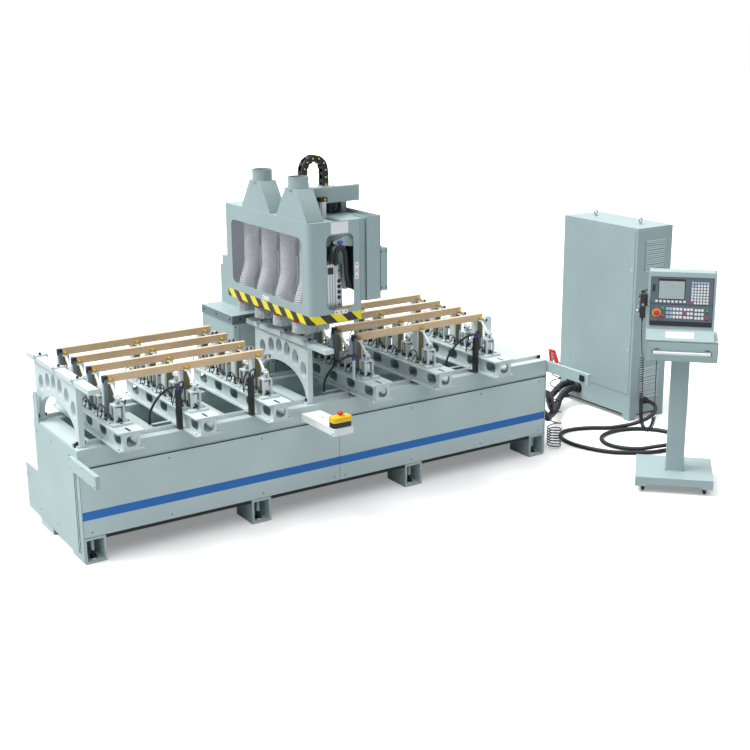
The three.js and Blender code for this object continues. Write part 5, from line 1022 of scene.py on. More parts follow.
# %% Roof, hoppers and side covers
form = Form()
roof = [(H_RIGHT - 187, H_FRONT + 4), (H_RIGHT - 187, H_BACK - 4), (H_LEFT + 4, H_BACK - 4)] + corner_arc(4)
HOPPERS, NECK = (46, 499), 66
holes = [[(1451, y - 181), (1560, y - 181), (1560, y + 181), (1451, y + 181)] for y in HOPPERS]
form.plate("z", [roof] + holes, 1870, 1874, SHEET)
form.box(1616, 1622, H_FRONT + 5, H_BACK - 5, 1842, 1873.5, SHEET)
for y in HOPPERS:
    side = [(y - 184, 1870), (y + 184, 1870), (y + 184, 1884), (y + NECK, 2060), (y - NECK, 2060),
            (y - 184, 1884)]
    for x in (1448, 1560):
        form.prism("x", side, x, x + 3, SHEET)
    for way in (-1, 1):
        form.prism("x", [(y + way * 184, 1870), (y + way * 181, 1870), (y + way * 181, 1883),
                         (y + way * 63.4, 2059), (y + way * NECK, 2060), (y + way * 184, 1884)],
                   1450, 1561, SHEET)
    form.plate("z", [rounded(1449, 1562, y - NECK, y + NECK, 3, 2), oval(1505.5, y, 53)],
               2056, 2060.4, SHEET)
    for outer, inner, low, high in ((62, 58.5, 2052, 2128), (63.2, 58.6, 2121, 2127.6)):
        form.plate("z", [oval(1502, y, outer, steps=48), oval(1502, y, inner, steps=48)], low, high, SHEET)
for sheet in ((1520, 1809, 907, 911, 1256, 1364), (1520, 1720, 906, 910, 1360, 1870),
              (1803, 1846, -151, -147, 1364, 1874), (1805, 1809, -162, -147, 1364, 1874),
              (1846, 1850, -163, -147, 1364, 1874), (1846, 1952, -163, -159, 1364, 1882),
              (1948, 1952, -163, 700, 1364, 1882), (1870, 1874, -151, 20, 1700, 1880),
              (1950, 2006, -159, 87, 1410, 1676), (1950, 1990, 92, 520, 1430, 1650)):
    form.box(*sheet, SHEET)
form.box(1801.5, 1804, -163.7, -162.8, 1366, 1872, DUSK)
form.prism("y", rounded(1598, 1720, 1798, 1868, 4, 3), -163.9, -163.2, LABEL)
form.box(1934.4, 1951, 87, 700, 1636, 1676, DUSK)
form.turned((1951, 30, 1732), (1985, 30, 1732),
            [(0, 9), (0.3, 9), (0.35, 17), (0.9, 18), (1, 14)], ABS_GREY, 20)
form.screws((1856, 1942), (-163,), (1392, 1500, 1612, 1724, 1850), FRONTWARD, 4, 2, FRAME_COAT)
form.screws((1962, 1996), (-159,), (1430, 1656), FRONTWARD, 4.5, 2.5)
form.screws((1608,), (-120, 200, 520, 840), (1874,), UPWARD, 4.5, 2.5)
form.make("hood_roof", "head", edge=1.2)

# %% [markdown]
# The lower edge of the hood carries a hazard band, printed film wrapped round the corner. Its slanted
# bars are laid out along the unrolled edge and bent with it. Small plates show the axes' directions.


# %% Hazard band
def along_edge(s, out=0.5):
    """The place at a length s along the hood's lower edge, from its back left end."""
    straight, bend = H_BACK - (H_FRONT + CORNER_R), CORNER_R * math.pi / 2
    if s < straight:
        return H_LEFT - out, H_BACK - s
    if s < straight + bend:
        a = math.pi + (s - straight) / CORNER_R
        reach = CORNER_R + out
        return H_LEFT + CORNER_R + reach * math.cos(a), H_FRONT + CORNER_R + reach * math.sin(a)
    return H_LEFT + CORNER_R + s - straight - bend, H_FRONT - out


edge_long = H_BACK - (H_FRONT + CORNER_R) + CORNER_R * math.pi / 2 + H_RIGHT - H_LEFT - CORNER_R
BAR, RISE, ROWS, CELLS = 75, 53, 8, 8
form = Form()
for bar in range(-1, int(edge_long / BAR) + 1):
    spots = []
    for row in range(ROWS + 1):
        for cell in range(CELLS + 1):
            s = BAR * (bar + cell / CELLS) + RISE * (1 - row / ROWS)
            spots.append((*along_edge(min(max(s, 0), edge_long)), H_LOW + RISE * row / ROWS))
    across = CELLS + 1
    first = [r * across + c for r in range(ROWS) for c in range(CELLS)]
    faces = [(f, f + 1, f + across + 1, f + across) for f in first]
    form.add(spots, faces, (HAZARD_YELLOW, HAZARD_BLACK)[bar % 2])
form.make("hazard_band", "head", edge=0)
print("band length %.0f mm" % edge_long)


# %% Axis plates
def on_left(u, v, out):
    return H_LEFT - out, -u, v


def on_front(u, v, out):
    return u, H_FRONT - out, v


def arrow(form, place, u, v, way, look):
    """A small triangle that points one way."""
    tip = {"left": (-1, 0), "right": (1, 0), "up": (0, 1), "down": (0, -1)}[way]
    side = (-tip[1], tip[0])
    spots = [(u + 9 * tip[0], v + 9 * tip[1]), (u - 5 * tip[0] + 7 * side[0], v - 5 * tip[1] + 7 * side[1]),
             (u - 5 * tip[0] - 7 * side[0], v - 5 * tip[1] - 7 * side[1])]
    form.add([place(*spot, 0.9) for spot in spots], [(0, 1, 2)], look)


def letter(form, place, u, v, strokes, look):
    """An axis letter made of straight strokes."""
    for u0, v0, u1, v1 in strokes:
        way = Vector((u1 - u0, v1 - v0)).normalized() * 1.6
        side = Vector((-way.y, way.x))
        spots = [(u + u0 - side.x, v + v0 - side.y), (u + u0 + side.x, v + v0 + side.y),
                 (u + u1 + side.x, v + v1 + side.y), (u + u1 - side.x, v + v1 - side.y)]
        form.add([place(*spot, 0.95) for spot in spots], [(0, 1, 2, 3)], look)


form = Form()
TIPS = {"X": [(-6, -8, 6, 8), (-6, 8, 6, -8)], "Y": [(-6, 8, 0, 0), (6, 8, 0, 0), (0, 0, 0, -8)],
        "Z": [(-6, 8, 6, 8), (6, 8, -6, -8), (-6, -8, 6, -8)]}
for place, u, v, wide, tall, name, ways in ((on_left, -390, 1330, 92, 26, "Y", ("left", "right")),
                                            (on_front, 1664, 1316, 92, 26, "X", ("left", "right")),
                                            (on_front, 1778, 1560, 26, 104, "Z", ("down", "up"))):
    corners = rounded(u - wide / 2, u + wide / 2, v - tall / 2, v + tall / 2, 3, 3)
    form.add([place(*c, out) for out in (0.1, 0.7) for c in corners], form.closed(2, len(corners)), LABEL)
    reach = max(wide, tall) / 2 - 14
    for way, side in zip(ways, (-1, 1)):
        spot = (u + side * reach * (wide > tall), v + side * reach * (wide < tall))
        arrow(form, place, *spot, way, RED_FILM)
    letter(form, place, u, v, TIPS[name], RED_FILM)
form.make("axis_plates", "head", edge=0)

# %% [markdown]
# ## Extraction hoses
# A white ribbed hose hangs from the roof over every spindle and swings in to its brush skirt. Such a
# hose is thin film over a wire helix, so it has a rib every 14 mm and lets some light through.

# %% Four ribbed hoses
H_TOP, H_END, RIB_PITCH, HOSE_SIDES = 1869.7, 1262.3, 14, 36
RIB_STEPS = int((H_TOP - H_END) / RIB_PITCH * 6)
for row, y in enumerate(STANDS):
    form, spots = Form(), []
    for i in range(RIB_STEPS + 1):
        z = H_TOP + (H_END - H_TOP) * i / RIB_STEPS
        part = min(max((1520 - z) / 190, 0), 1)
        x = 1560 - 46 * part * part * (3 - 2 * part)
        swell = 45.4 + 5.2 * abs(math.cos(math.pi * (H_TOP - z) / RIB_PITCH)) ** 1.5
        spots += [(u, v, z) for u, v in oval(x, y, swell, steps=HOSE_SIDES)]
    form.add(spots, ring_faces(RIB_STEPS + 1, HOSE_SIDES), HOSE_FILM)
    form.make(f"ribbed_hose_{row + 1}", "head", f"extraction_hose_{row + 1}", edge=0, sharp=80)

# %% [markdown]
# ## Brush skirts
# Below the hood each tool stands in an oval skirt: a red ring that holds close rows of grey-white
# nylon strands. Every strand leans a little and has its own length, all from one fixed seed.

# %% Red rings, floor plate and strands
form = Form()
plate = [(H_RIGHT - 4.3, H_FRONT + 4.3), (H_RIGHT - 4.3, H_BACK - 4.3),
         (H_LEFT + 4.3, H_BACK - 4.3)] + corner_arc(4.3)


def stadium(y, radius, steps=16):
    """The outline of a long round skirt, with a half circle at each end."""
    left = oval(1512, y, radius, steps=2 * steps)[steps // 2:3 * steps // 2 + 1]
    return left + [(3152 - u, 2 * y - v) for u, v in left]


openings = [oval(x, y, radius) for y in STANDS for x, radius in ((1514, 42), (1640, 54))]
form.plate("z", [plate] + openings, 1257, 1262, SHEET)
for y in STANDS:
    form.plate("z", [stadium(y, 60), stadium(y, 51)], 1238, 1256.8, ABS_RED)
    for side in (-1, 1):
        form.screws((1500, 1576, 1652), (y + side * 60,), (1247,), (0, side, 0), 3.2, 1.6, STEEL)
chance, STRANDS = random.Random(7), 880
for y in STANDS:
    around = [Vector((*p, 0)) for p in stadium(y, 55.5, 40)]
    lengths = [(around[(i + 1) % len(around)] - p).length for i, p in enumerate(around)]
    for _ in range(STRANDS):
        s = chance.random() * sum(lengths)
        i = 0
        while s > lengths[i]:
            s -= lengths[i]
            i += 1
        way = (around[(i + 1) % len(around)] - around[i]).normalized()
        out = Vector((way.y, -way.x, 0))
        root = around[i] + way * s + out * chance.uniform(-3.6, 3.6)
        root.z = 1240
        tip = root + way * chance.gauss(0, 3.5) + out * chance.gauss(0.8, 3.0)
        tip.z = 1166 + abs(chance.gauss(0, 4.5))
        middle = root.lerp(tip, 0.5) + way * chance.gauss(0, 1.2)
        thick = chance.uniform(0.7, 1.15)
        ring = [Vector((math.cos(a), math.sin(a), 0)) for a in (0, 2.09, 4.19)]
        spots = [spot + size * r for spot, size in ((root, thick), (middle, thick),
                                                    (tip, 0.55 * thick)) for r in ring]
        form.add(spots, ring_faces(3, 3) + [(6, 7, 8)], NYLON)
form.make("brush_skirt_set", "head", "brush_skirts", edge=0)

# %% [markdown]
# ## Spindles
# Four milling spindles share one lift plate on linear rails. Each has a square machined body with
# air fittings on its front, a servo above and a collet chuck below that holds a shank cutter.

# %% Lift plate and spindle bodies
SPINDLE_X = 1640
NOSE = [(0, 40), (0.12, 40), (0.15, 34), (0.8, 34), (1, 30)]
form = Form()
form.plate("x", [rounded(-34, 868, 1360, 1690, 8, 3)], 1688, 1721.7, MILLED)
for y in STANDS:
    form.prism("z", rounded(1598, 1690, y - 42, y + 42, 8, 3), 1350, 1598, ALUMINIUM)
    form.plate("y", [rounded(1622, 1684, 1362, 1590, 4, 3)], y - 47, y - 41.5, PALE)
    for k in range(4):
        z = 1414 + 36 * k
        form.turned((1667, y - 46, z), (1667, y - 58, z), [(0, 8), (0.6, 9.5), (1, 6)], ABS_BLACK, 14)
    for u, z in ((1630, 1376), (1630, 1576), (1676, 1376), (1676, 1576), (SPINDLE_X, 1480)):
        form.screw((u, y - 47, z), FRONTWARD, 4.5, 2.5)
    form.turned((SPINDLE_X, y, 1350), (SPINDLE_X, y, 1290), NOSE, ALUMINIUM, 28)
    form.prism("z", rounded(1612, 1668, y - 28, y + 28, 5, 3), 1598, 1682, ABS_BLACK)
    form.rod((SPINDLE_X, y, 1682), (SPINDLE_X, y, 1690), 24, ABS_BLACK, 20, 20)
    for k in range(8):
        form.box(1611, 1669, y - 28.8, y + 28.8, 1610 + 8 * k, 1613 + 8 * k, ABS_BLACK)
    form.box(1652, 1690, y - 8, y + 8, 1660, 1676, ABS_BLACK)
for z in (1400, 1650):
    form.box(1700, 1716, -30, 864, z - 12, z + 12, STEEL)
form.pipe([(1672, 12, 1598), (1676, 6, 1660), (1690, -10, 1700), (1704, -2, 1720),
           (1714, 16, 1690)], 7, RUBBER)
form.make("spindle_set", "spindles", "spindle_carriage", edge=1)

# %% Chucks and cutters
TAPER = [(0, 20), (0.1, 20), (0.15, 18.5), (0.85, 18.5), (1, 20)]
NUT = [(0, 24), (0.2, 26), (0.8, 26), (1, 20)]
FLUTES, FLUTE_STEPS = 3, 8
for row, y in enumerate(STANDS):
    form = Form()
    form.turned((SPINDLE_X, y, 1289.7), (SPINDLE_X, y, 1249.7), TAPER, STEEL, 28)
    form.turned((SPINDLE_X, y, 1250), (SPINDLE_X, y, 1231.7), NUT, BLACK_STEEL, 10)
    form.rod((SPINDLE_X, y, 1232), (SPINDLE_X, y, 1210), 6, CHROME, 20)
    for flute in range(FLUTES):
        spots = []
        for step in range(FLUTE_STEPS + 1):
            a, z = 2 * math.pi * flute / FLUTES + step * 0.2, 1212 - step * 2.78
            for reach, turn in ((1.2, 0), (6, -0.35), (6, 0.35)):
                spots.append((SPINDLE_X + reach * math.cos(a + turn), y + reach * math.sin(a + turn), z))
        form.add(spots, form.closed(FLUTE_STEPS + 1, 3), CHROME)
    form.make(f"chuck_{row + 1}_turned", f"chuck_{row + 1}", f"tool_chuck_{row + 1}", edge=0.5)

# %% [markdown]
# ## Lift drive and balance cylinder
# A servo under a folded belt cover turns the lift screw. An air cylinder carries part of the weight.

# %% Belt cover, servo and balance cylinder
MOTOR = (1838, 244)
cover = [(1624, 130), (1632, 120), (1974, 120), (1996, 142), (1996, 342), (1830, 342)]
cover += [(1830 - 206 * math.sin(a) * 0.94, 342 - 178 * (1 - math.cos(a)))
          for a in (0.3, 0.6, 0.9, 1.2, 1.45)]
form = Form()
form.prism("z", cover, 1938, 2034, SHEET)
form.prism("z", [(1810 + (x - 1810) * 1.006, 231 + (y - 231) * 1.008) for x, y in cover], 2031, 2038, PALE)
for x, y in ((1640, 134), (1800, 130), (1960, 134), (1984, 230), (1984, 330), (1850, 330), (1700, 270)):
    form.screw((x, y, 2038), UPWARD, 4.5, 2)
form.prism("z", rounded(1780, 1896, 186, 302, 14, 4), 1922, 1938, BLACK_STEEL)
form.turned((*MOTOR, 1866), (*MOTOR, 1924), [(0, 52), (0.06, 58), (0.94, 58), (1, 52)], ABS_BLACK, 32)
for k in range(6):
    form.rod((*MOTOR, 1874 + 8 * k), (*MOTOR, 1878 + 8 * k), 60.5, ABS_BLACK, 32)
form.turned((1838, 226, 1890), (1838, 176, 1890),
            [(0, 13), (0.5, 13), (0.5, 16), (0.9, 16), (1, 12)], ABS_BLACK, 18)
form.turned((1880, 244, 1892), (1912, 244, 1892), [(0, 12), (0.5, 12), (0.55, 15), (1, 13)], ABS_BLACK, 18)
form.make("lift_drive_dressed", "head", "lift_drive", edge=1.6)

form = Form()
ribs = [oval(1676, 62, 24.4 if k % 4 else 22, steps=32)[k] for k in range(32)]
form.prism("z", ribs, 1762, 1962, ALUMINIUM)
form.prism("z", rounded(1649, 1703, 35, 89, 8, 3), 1962, 1986.5, BLACK_STEEL)
form.prism("z", rounded(1650, 1702, 36, 88, 8, 3), 1752, 1772, BLACK_STEEL)
form.turned((1703, 62, 1976), (1715, 62, 1976), [(0, 6), (0.5, 6), (0.5, 8), (1, 7)], BRASS, 12)
form.turned((1676, 35, 1976), (1676, 24, 1976), [(0, 6), (0.6, 6), (1, 8)], BRASS, 12)
form.make("balance_cylinder", "head", edge=0.8)

# %% Guide profile, hose and fitting behind the hood's front opening
form = Form()
form.prism("y", rounded(1612, 1716, 1326, 1600, 6, 3), -92, -84, ALUMINIUM)
for x in (1628, 1646, 1664):
    form.box(x, x + 3, -92.6, -91.5, 1332, 1594, BLACK_STEEL)
for z in (1391, 1425, 1459, 1493):
    form.rod((1694, -92.2, z), (1694, -93.4, z), 13.5, ABS_BLACK, 20, 12.5)
for z in (1348, 1556):
    form.screw((1694, -92, z), FRONTWARD, 6, 3)
form.prism("y", rounded(1618, 1652, 1540, 1580, 3, 2), -98, -91.5, ABS_BLACK)
form.box(1712, 1726, -92, -60, 1450, 1590, ALUMINIUM)
form.pipe([(1652, -124, 1630), (1656, -126, 1680), (1684, -128, 1706), (1714, -128, 1676),
           (1722, -128, 1594), (1730, -128, 1516), (1752, -128, 1466), (1788, -122, 1446)],
          15, RUBBER, 16, 60)
form.turned((1652, -122, 1634), (1651, -122, 1598), [(0, 17), (0.6, 17), (1, 11)], BLACK_STEEL, 18)
form.rod((1786, -122, 1446), (1802, -120, 1440), 19, BLACK_STEEL, 18)
form.prism("y", [(1645, 1738), (1750, 1764), (1786, 1742), (1782, 1700), (1722, 1712),
                 (1650, 1728)], -112, -104, PALE)
form.turned((1672, -124, 1733), (1700, -124, 1737), [(0, 9), (0.2, 12), (0.8, 12), (1, 9)], ACETAL_BLUE, 18)
form.rod((1686, -124, 1735), (1686, -106, 1735), 5, BRASS, 12)
form.make("guide_profile", "head", edge=1)

# %% [markdown]
# ## Cable carrier
# Cables to the moving head run in a chain of moulded links. Each link has two side plates with a
# round boss at the pin and thin bars across, and a yellow plug closes every pin.

# %% Chain of links
C_X, C_Z, C_R, C_Y0, C_Y1 = 1668, 2144, 74, 124, 180
C_START, C_END, LINK = 1874.6, 2038.6, 46


def on_chain(s):
    """The place at a length s along the chain: up, round the top and down."""
    left = C_Z - C_START
    if s < left:
        return C_X - C_R, C_START + s
    s -= left
    if s < math.pi * C_R:
        a = math.pi - s / C_R
        return C_X + C_R * math.cos(a), C_Z + C_R * math.sin(a)
    s -= math.pi * C_R
    return C_X + C_R, C_Z - s


chain_long = C_Z - C_START + math.pi * C_R + C_Z - C_END
form = Form()
LINKS = round((chain_long - 30) / LINK)
pins = [15 + (chain_long - 30) * k / LINKS for k in range(LINKS + 1)]
for s in pins:
    x, z = on_chain(s)
    for y, way in ((C_Y0, -1), (C_Y1, 1)):
        form.rod((x, y + way * 0.2, z), (x, y - way * 1.6, z), 13.5, ABS_BLACK, 16)
        form.rod((x, y + way * 0.8, z), (x, y - way, z), 5.6, YELLOW_DOT, 14)
HALF_ROUND = oval(0, 0, 18, steps=16)[:9]
for a, b in zip(pins, pins[1:]):
    first, last = Vector(on_chain(a)), Vector(on_chain(b))
    along = (last - first).normalized()
    side = Vector((-along.y, along.x))
    capsule = [first - along * v + side * u for u, v in HALF_ROUND]
    capsule += [last + along * v - side * u for u, v in HALF_ROUND]
    for y in (C_Y0 + 1, C_Y1 - 7):
        form.prism("y", [tuple(p) for p in capsule], y, y + 6, ABS_BLACK)
    middle = (first + last) / 2
    for reach in (18.5, -18.5):
        core = middle + side * reach
        bar = [core + along * u + side * v for u, v in ((-9, -2.2), (9, -2.2), (9, 2.2), (-9, 2.2))]
        form.prism("y", [tuple(p) for p in bar], C_Y0 + 1.5, C_Y1 - 1.5, ABS_BLACK)
path = [on_chain(s) for s in range(8, int(chain_long) - 6, 24)]
for y, look in ((138, RUBBER), (152, DUSK), (166, RUBBER)):
    form.pipe([(x, y, z) for x, z in path], 6, look, 8, 90)
form.box(1572, 1616, 122, 182, 1874.3, 1882, STEEL)
form.box(1720, 1764, 122, 182, 2038.3, 2046, STEEL)
form.make("cable_chain", "head", "cable_carrier", edge=0.8)

# %% [markdown]
# ## Operator stop and air gun
# A folded channel in front of the bed carries a two-part plastic box, black below and yellow above,
# with a red mushroom button. On the right arm hang a paddle switch and a red blow gun with a long
# bent nozzle. Small screws fix every cover.

# %% Stop arm with its box
form = Form()
form.prism("z", rounded(1458, 1596, -398, -0.5, 5, 3), 658, 663, WHITE)
for x in (1458, 1591):
    form.box(x, x + 5, -397, -0.5, 618, 660, WHITE)
form.box(1460, 1594, -398, -393, 618, 660, WHITE)
form.box(1459, 1595, -5, -0.4, 601, 661, WHITE)
form.prism("z", rounded(1462, 1592, -390, -324, 16, 6), 663.3, 697.5, ABS_BLACK)
form.prism("z", rounded(1460, 1594, -392, -322, 17, 6), 696.5, 727, ABS_YELLOW)
form.prism("z", rounded(1470, 1584, -382, -332, 12, 6), 726, 729.5, ABS_YELLOW)
form.plate("z", [oval(1527, -357, 21, steps=32), oval(1527, -357, 9.6, steps=24)], 729.4, 734.6, ABS_YELLOW)
form.screws((1474, 1580), (-378, -336), (727,), UPWARD, 4, 2)
form.screw((1527, -150, 663), UPWARD, 5, 2.5)
form.screw((1458, -384, 632), LEFTWARD, 5, 2.5)
form.make("stop_box", "base", "stop_bracket", edge=1.8)

form = Form()
form.rod((1527, -357, 734.7), (1527, -357, 742), 8.5, ABS_RED, 24)
cap = [(0, 14), (0.1, 18), (0.25, 19), (0.7, 18.6), (0.9, 16), (1, 11)]
form.turned((1527, -357, 740.3), (1527, -357, 755.6), cap, ABS_RED, 32)
form.make("bed_stop_mushroom", "bed_stop", "bed_stop_button", edge=0.5, sharp=60)

# %% Air gun
GUN_X, GUN_Z = 3495.3, 762
form = Form()
handle = [(-41, 764), (-80, 692), (-77, 687), (-55, 687), (-51, 691), (-12, 762), (-12, 772), (-34, 774)]
form.prism("x", handle, GUN_X - 9.5, GUN_X + 9.5, ABS_RED)
form.turned((GUN_X, -39, GUN_Z), (GUN_X, 13, GUN_Z),
            [(0, 9), (0.12, 12.5), (0.8, 12.5), (1, 8)], ABS_RED, 20)
lever = [(2, 765), (-8, 630), (-4, 626), (0, 628), (12, 720), (18, 765)]
form.prism("x", lever, GUN_X - 5.5, GUN_X + 5.5, ABS_RED)
form.turned((GUN_X, 12, GUN_Z + 3), (GUN_X, 30, GUN_Z + 4), [(0, 7), (0.7, 7), (1, 4.5)], BRASS, 14)
form.pipe([(GUN_X, 28, 766), (GUN_X, 90, 766), (GUN_X, 180, 766), (GUN_X, 222, 765), (GUN_X, 240, 758),
           (GUN_X, 250, 744)], 3.1, STEEL, 12, 40)
form.turned((GUN_X, -66, 688), (GUN_X, -69, 672), [(0, 8), (0.5, 8), (0.6, 6), (1, 6)], BRASS, 14)
form.box(3484.2, 3486.4, -40, -19.5, 642, 755, STEEL)
form.screw((3486.4, -30, 655), (1, 0, 0), 4.5, 2)
form.make("blow_gun", "base", "air_gun", edge=1.6)

# %% Arms, switch and cover screws
form = Form()
form.prism("x", rounded(-394, -350, 634, 674, 3, 3), 3449, 3460.5, ABS_BLACK)
for y, z in itertools.product((-383, -361), (645, 663)):
    form.prism("x", centred(y, z, 8, 7, 2, 2), 3446.4, 3450, ABS_BLACK)
for x, side, top, tip in ((-24, -1, 650, -312), (3484, 1, 690, -412)):
    form.screws((x,), (tip, -130, 60), (top - 66, top - 10), (side, 0, 0), 3.6, 1.6)
for x, side in ((-6, -1), (3466, 1)):
    for y, z in ((120, 640), (420, 640), (660, 640), (60, 400), (60, 90), (400, 120), (700, 120),
                 (900, 300), (690, 850)):
        form.screw((x, y, z), (side, 0, 0), 4.5, 1.8)
    for y, half in ((34, 1.4), (60, 3)):
        form.box(x - 0.9, x + 0.9, y - half, y + half, 60, 566, BLACK_STEEL)
form.screws((60, 560, 1180, 1700, 1780, 2300, 2880, 3400), (3.7,), (548, 190), FRONTWARD, 4.5, 1.8)
# A black strip along the recess between the front panels and the frame top: painted shade in the recess.
form.box(4, 3456, 4.5, 8, 576.5, 582, BLACK_STEEL)
form.box(3112, 3444, 98, 694, 700.3, 705, FRAME_COAT)
form.screws((3126, 3430), (130, 396, 662), (705,), UPWARD, 5, 2.5)
# Black sills under the three front panels: the base frame's bottom edge, painted black as the shadow under
# the bed.
for x0, x1 in ((140, 1095), (1231, 2249), (2385, 3320)):
    form.box(x0, x1, 7, 22, 139, 161.5, BLACK_STEEL)
for x in (72.3, 1163, 2317, 3387.7):
    form.prism("z", hexagon(x, 54, 20), 13.5, 30, BLACK_STEEL)
    form.rod((x, 54, 26), (x, 54, 62), 11.4, BLACK_STEEL, 18)
    form.rod((x, 54, 13.2), (x, 54, 16), 27, STEEL, 24, 25)
for x, y in itertools.product((300, 900, 1450, 2050, 2700, 3300), (82, 710)):
    form.box(x - 3, x + 3, y - 11, y + 11, 721.6, 722.4, STEEL)
for x, y in itertools.product((20, 3440), (82, 710)):
    form.box(x - 12, x + 12, y - 22, y - 13, 700.2, 724, BLACK_STEEL)
for z in (396, 270):
    form.turned((3466.1, 150, z), (3490, 150, z),
                [(0, 38), (0.25, 38), (0.3, 32), (1, 29.5)], ABS_BLACK, 28)
form.turned((3484.2, 56, 644), (3500, 56, 644), [(0, 9), (0.5, 9), (0.6, 6), (1, 5.2)], BRASS, 14)
form.make("bed_fittings", "base", edge=0.6)

# %% [markdown]
# ## Column
# The moving column is a welded box. Its saddle has a dark band along the top, a lighter front cover
# with folds, and screws along the cover's edges. It slides on a long closed base behind the bed, which
# has screwed covers and bolted feet. Its back isn't seen in the picture, so it is kept plain there.

# %% Column covers
form = Form()
form.box(1441.2, 2009, 865.6, 870, 1062, 1116, DUSK)
form.box(1440.6, 1445, 867, 1320, 1062, 1116, DUSK)
form.box(1448, 1752, 861, 869.8, 470, 1056, PALE)
form.box(1762, 2006, 863, 869.8, 470, 1056, SHEET)
form.box(1490, 1494, 859.4, 862, 476, 1050, DUSK)
form.box(1640, 1710, 859.4, 862, 640, 980, SHEET)
form.screws((1462, 1600, 1738, 1776, 1990), (862,), (486, 760, 1040), FRONTWARD, 5.5, 2.4)
form.screws((1500, 1560, 1850, 1950), (865.6,), (1090,), FRONTWARD, 7, 4)
form.screws((1440.6,), (900, 1100, 1290), (1090,), LEFTWARD, 7, 4)
form.screws((1445,), (900, 1100, 1290), (500,), LEFTWARD, 5.5, 3)
form.box(1600.5, 1635, 956, 958.2, 1122, 1326, STEEL)
form.box(1900, 1935.5, 956, 958.2, 1122, 1326, STEEL)
form.screws((1618, 1918), (956,), range(1134, 1319, 23), FRONTWARD, 4.5, 2)
form.box(1500, 1955, 1330.2, 1333, 520, 1050, PANEL_COAT)
form.screws((1512, 1728, 1943), (1333,), (534, 785, 1036), BACKWARD, 5, 2)
for k in range(8):
    form.box(1640, 1815, 1332.6, 1334.4, 900 + 14 * k, 905 + 14 * k, DUSK)
form.make("column_covers", "column", edge=1.2)

# %% Covers and feet of the rear base
form = Form()
for x0, x1 in ((230, 1240), (1255, 2265), (2280, 3290)):
    form.box(x0, x1, 1290.2, 1293, 50, 370, PANEL_COAT)
    form.screws((x0 + 18, (x0 + x1) / 2, x1 - 18), (1293,), (66, 354), BACKWARD, 5, 2)
for x, way in ((199.8, -1), (3320.2, 1)):
    form.box(min(x, x + way * 2.8), max(x, x + way * 2.8), 800, 1250, 50, 370, PANEL_COAT)
    form.screws((x + way * 2.8,), (818, 1025, 1232), (66, 354), (way, 0, 0), 5, 2)
for x in (320, 1020, 1760, 2500, 3200):
    form.box(x - 55, x + 55, 1288, 1332, 0.4, 16, SHEET)
    form.prism("z", hexagon(x, 1313, 15), 16, 28, BLACK_STEEL)
    form.rod((x, 1313, 26), (x, 1313, 44), 8, STEEL, 16)
form.make("rear_base_fittings", "base", edge=0.8)

# %% [markdown]
# ## Electrical cabinet
# The cabinet is folded sheet on four short legs. Two louvred grilles let air through its front, two
# glands in its side take the hoses, and lifting eyes stand on its roof.


# %% Louvres, eyes, glands and door lock
SLATS, EYE_STEPS, EYE_SIDES = 14, 28, 12


def louvre(form, z0):
    """A grille of slanted slats in a frame."""
    form.box(4577, 4787, 201.6, 208, z0 - 6, z0 + 2, PALE)
    form.box(4577, 4787, 201.6, 208, z0 + 228, z0 + 236, PALE)
    for x in (4577, 4780):
        form.box(x, x + 7, 202, 208, z0, z0 + 230, SHEET)
    # A slate sheet behind the slats: painted shade for the dark gaps between them, set to mid grey.
    form.box(4583, 4781, 204.6, 207.8, z0, z0 + 230, DUSK)
    for k in range(SLATS):
        z = z0 + 7 + 16 * k
        section = [(y, z + dz) for y, dz in ((200.6, -1), (201.8, -1.4), (207, 9.6), (206.2, 10.6))]
        form.prism("x", section, 4584, 4780, PALE)


def lifting_eye(form, x, y):
    """A forged ring on a short shank."""
    spots, faces, ring = [], [], oval(15, 0, 5.4, steps=EYE_SIDES)
    for i in range(EYE_STEPS):
        a = 2 * math.pi * i / EYE_STEPS
        spots += [(x + r * math.cos(a), y + v, 1529 + r * math.sin(a)) for r, v in ring]
        here, after = i * EYE_SIDES, (i + 1) % EYE_STEPS * EYE_SIDES
        for k in range(EYE_SIDES):
            then = (k + 1) % EYE_SIDES
            faces.append((here + k, here + then, after + then, after + k))
    form.add(spots, faces, STEEL)
    form.turned((x, y, 1500), (x, y, 1514.5), [(0, 15), (0.3, 15), (0.4, 11), (1, 10.2)], STEEL, 20)


form = Form()
louvre(form, 172)
louvre(form, 1168)
for y in (370, 864):
    lifting_eye(form, 4673, y)
gland = [(0, 46), (0.18, 46), (0.2, 37.5), (0.55, 37.5), (0.6, 40), (0.85, 40), (1, 36.5)]
for y, z in ((883, 148), (800, 132)):
    form.turned((4494, y, z), (4466, y, z), gland, ABS_BLACK, 30)
small_gland = [(0, 31), (0.2, 31), (0.22, 25), (0.6, 25), (0.65, 27), (0.9, 27), (1, 22)]
form.turned((4640, 208, 150), (4640, 180, 150), small_gland, ABS_BLACK, 26)
form.turned((4640, 182, 150), (4640, 150, 150), [(0, 19), (0.4, 17.6), (1, 15.4)], RUBBER, 24)
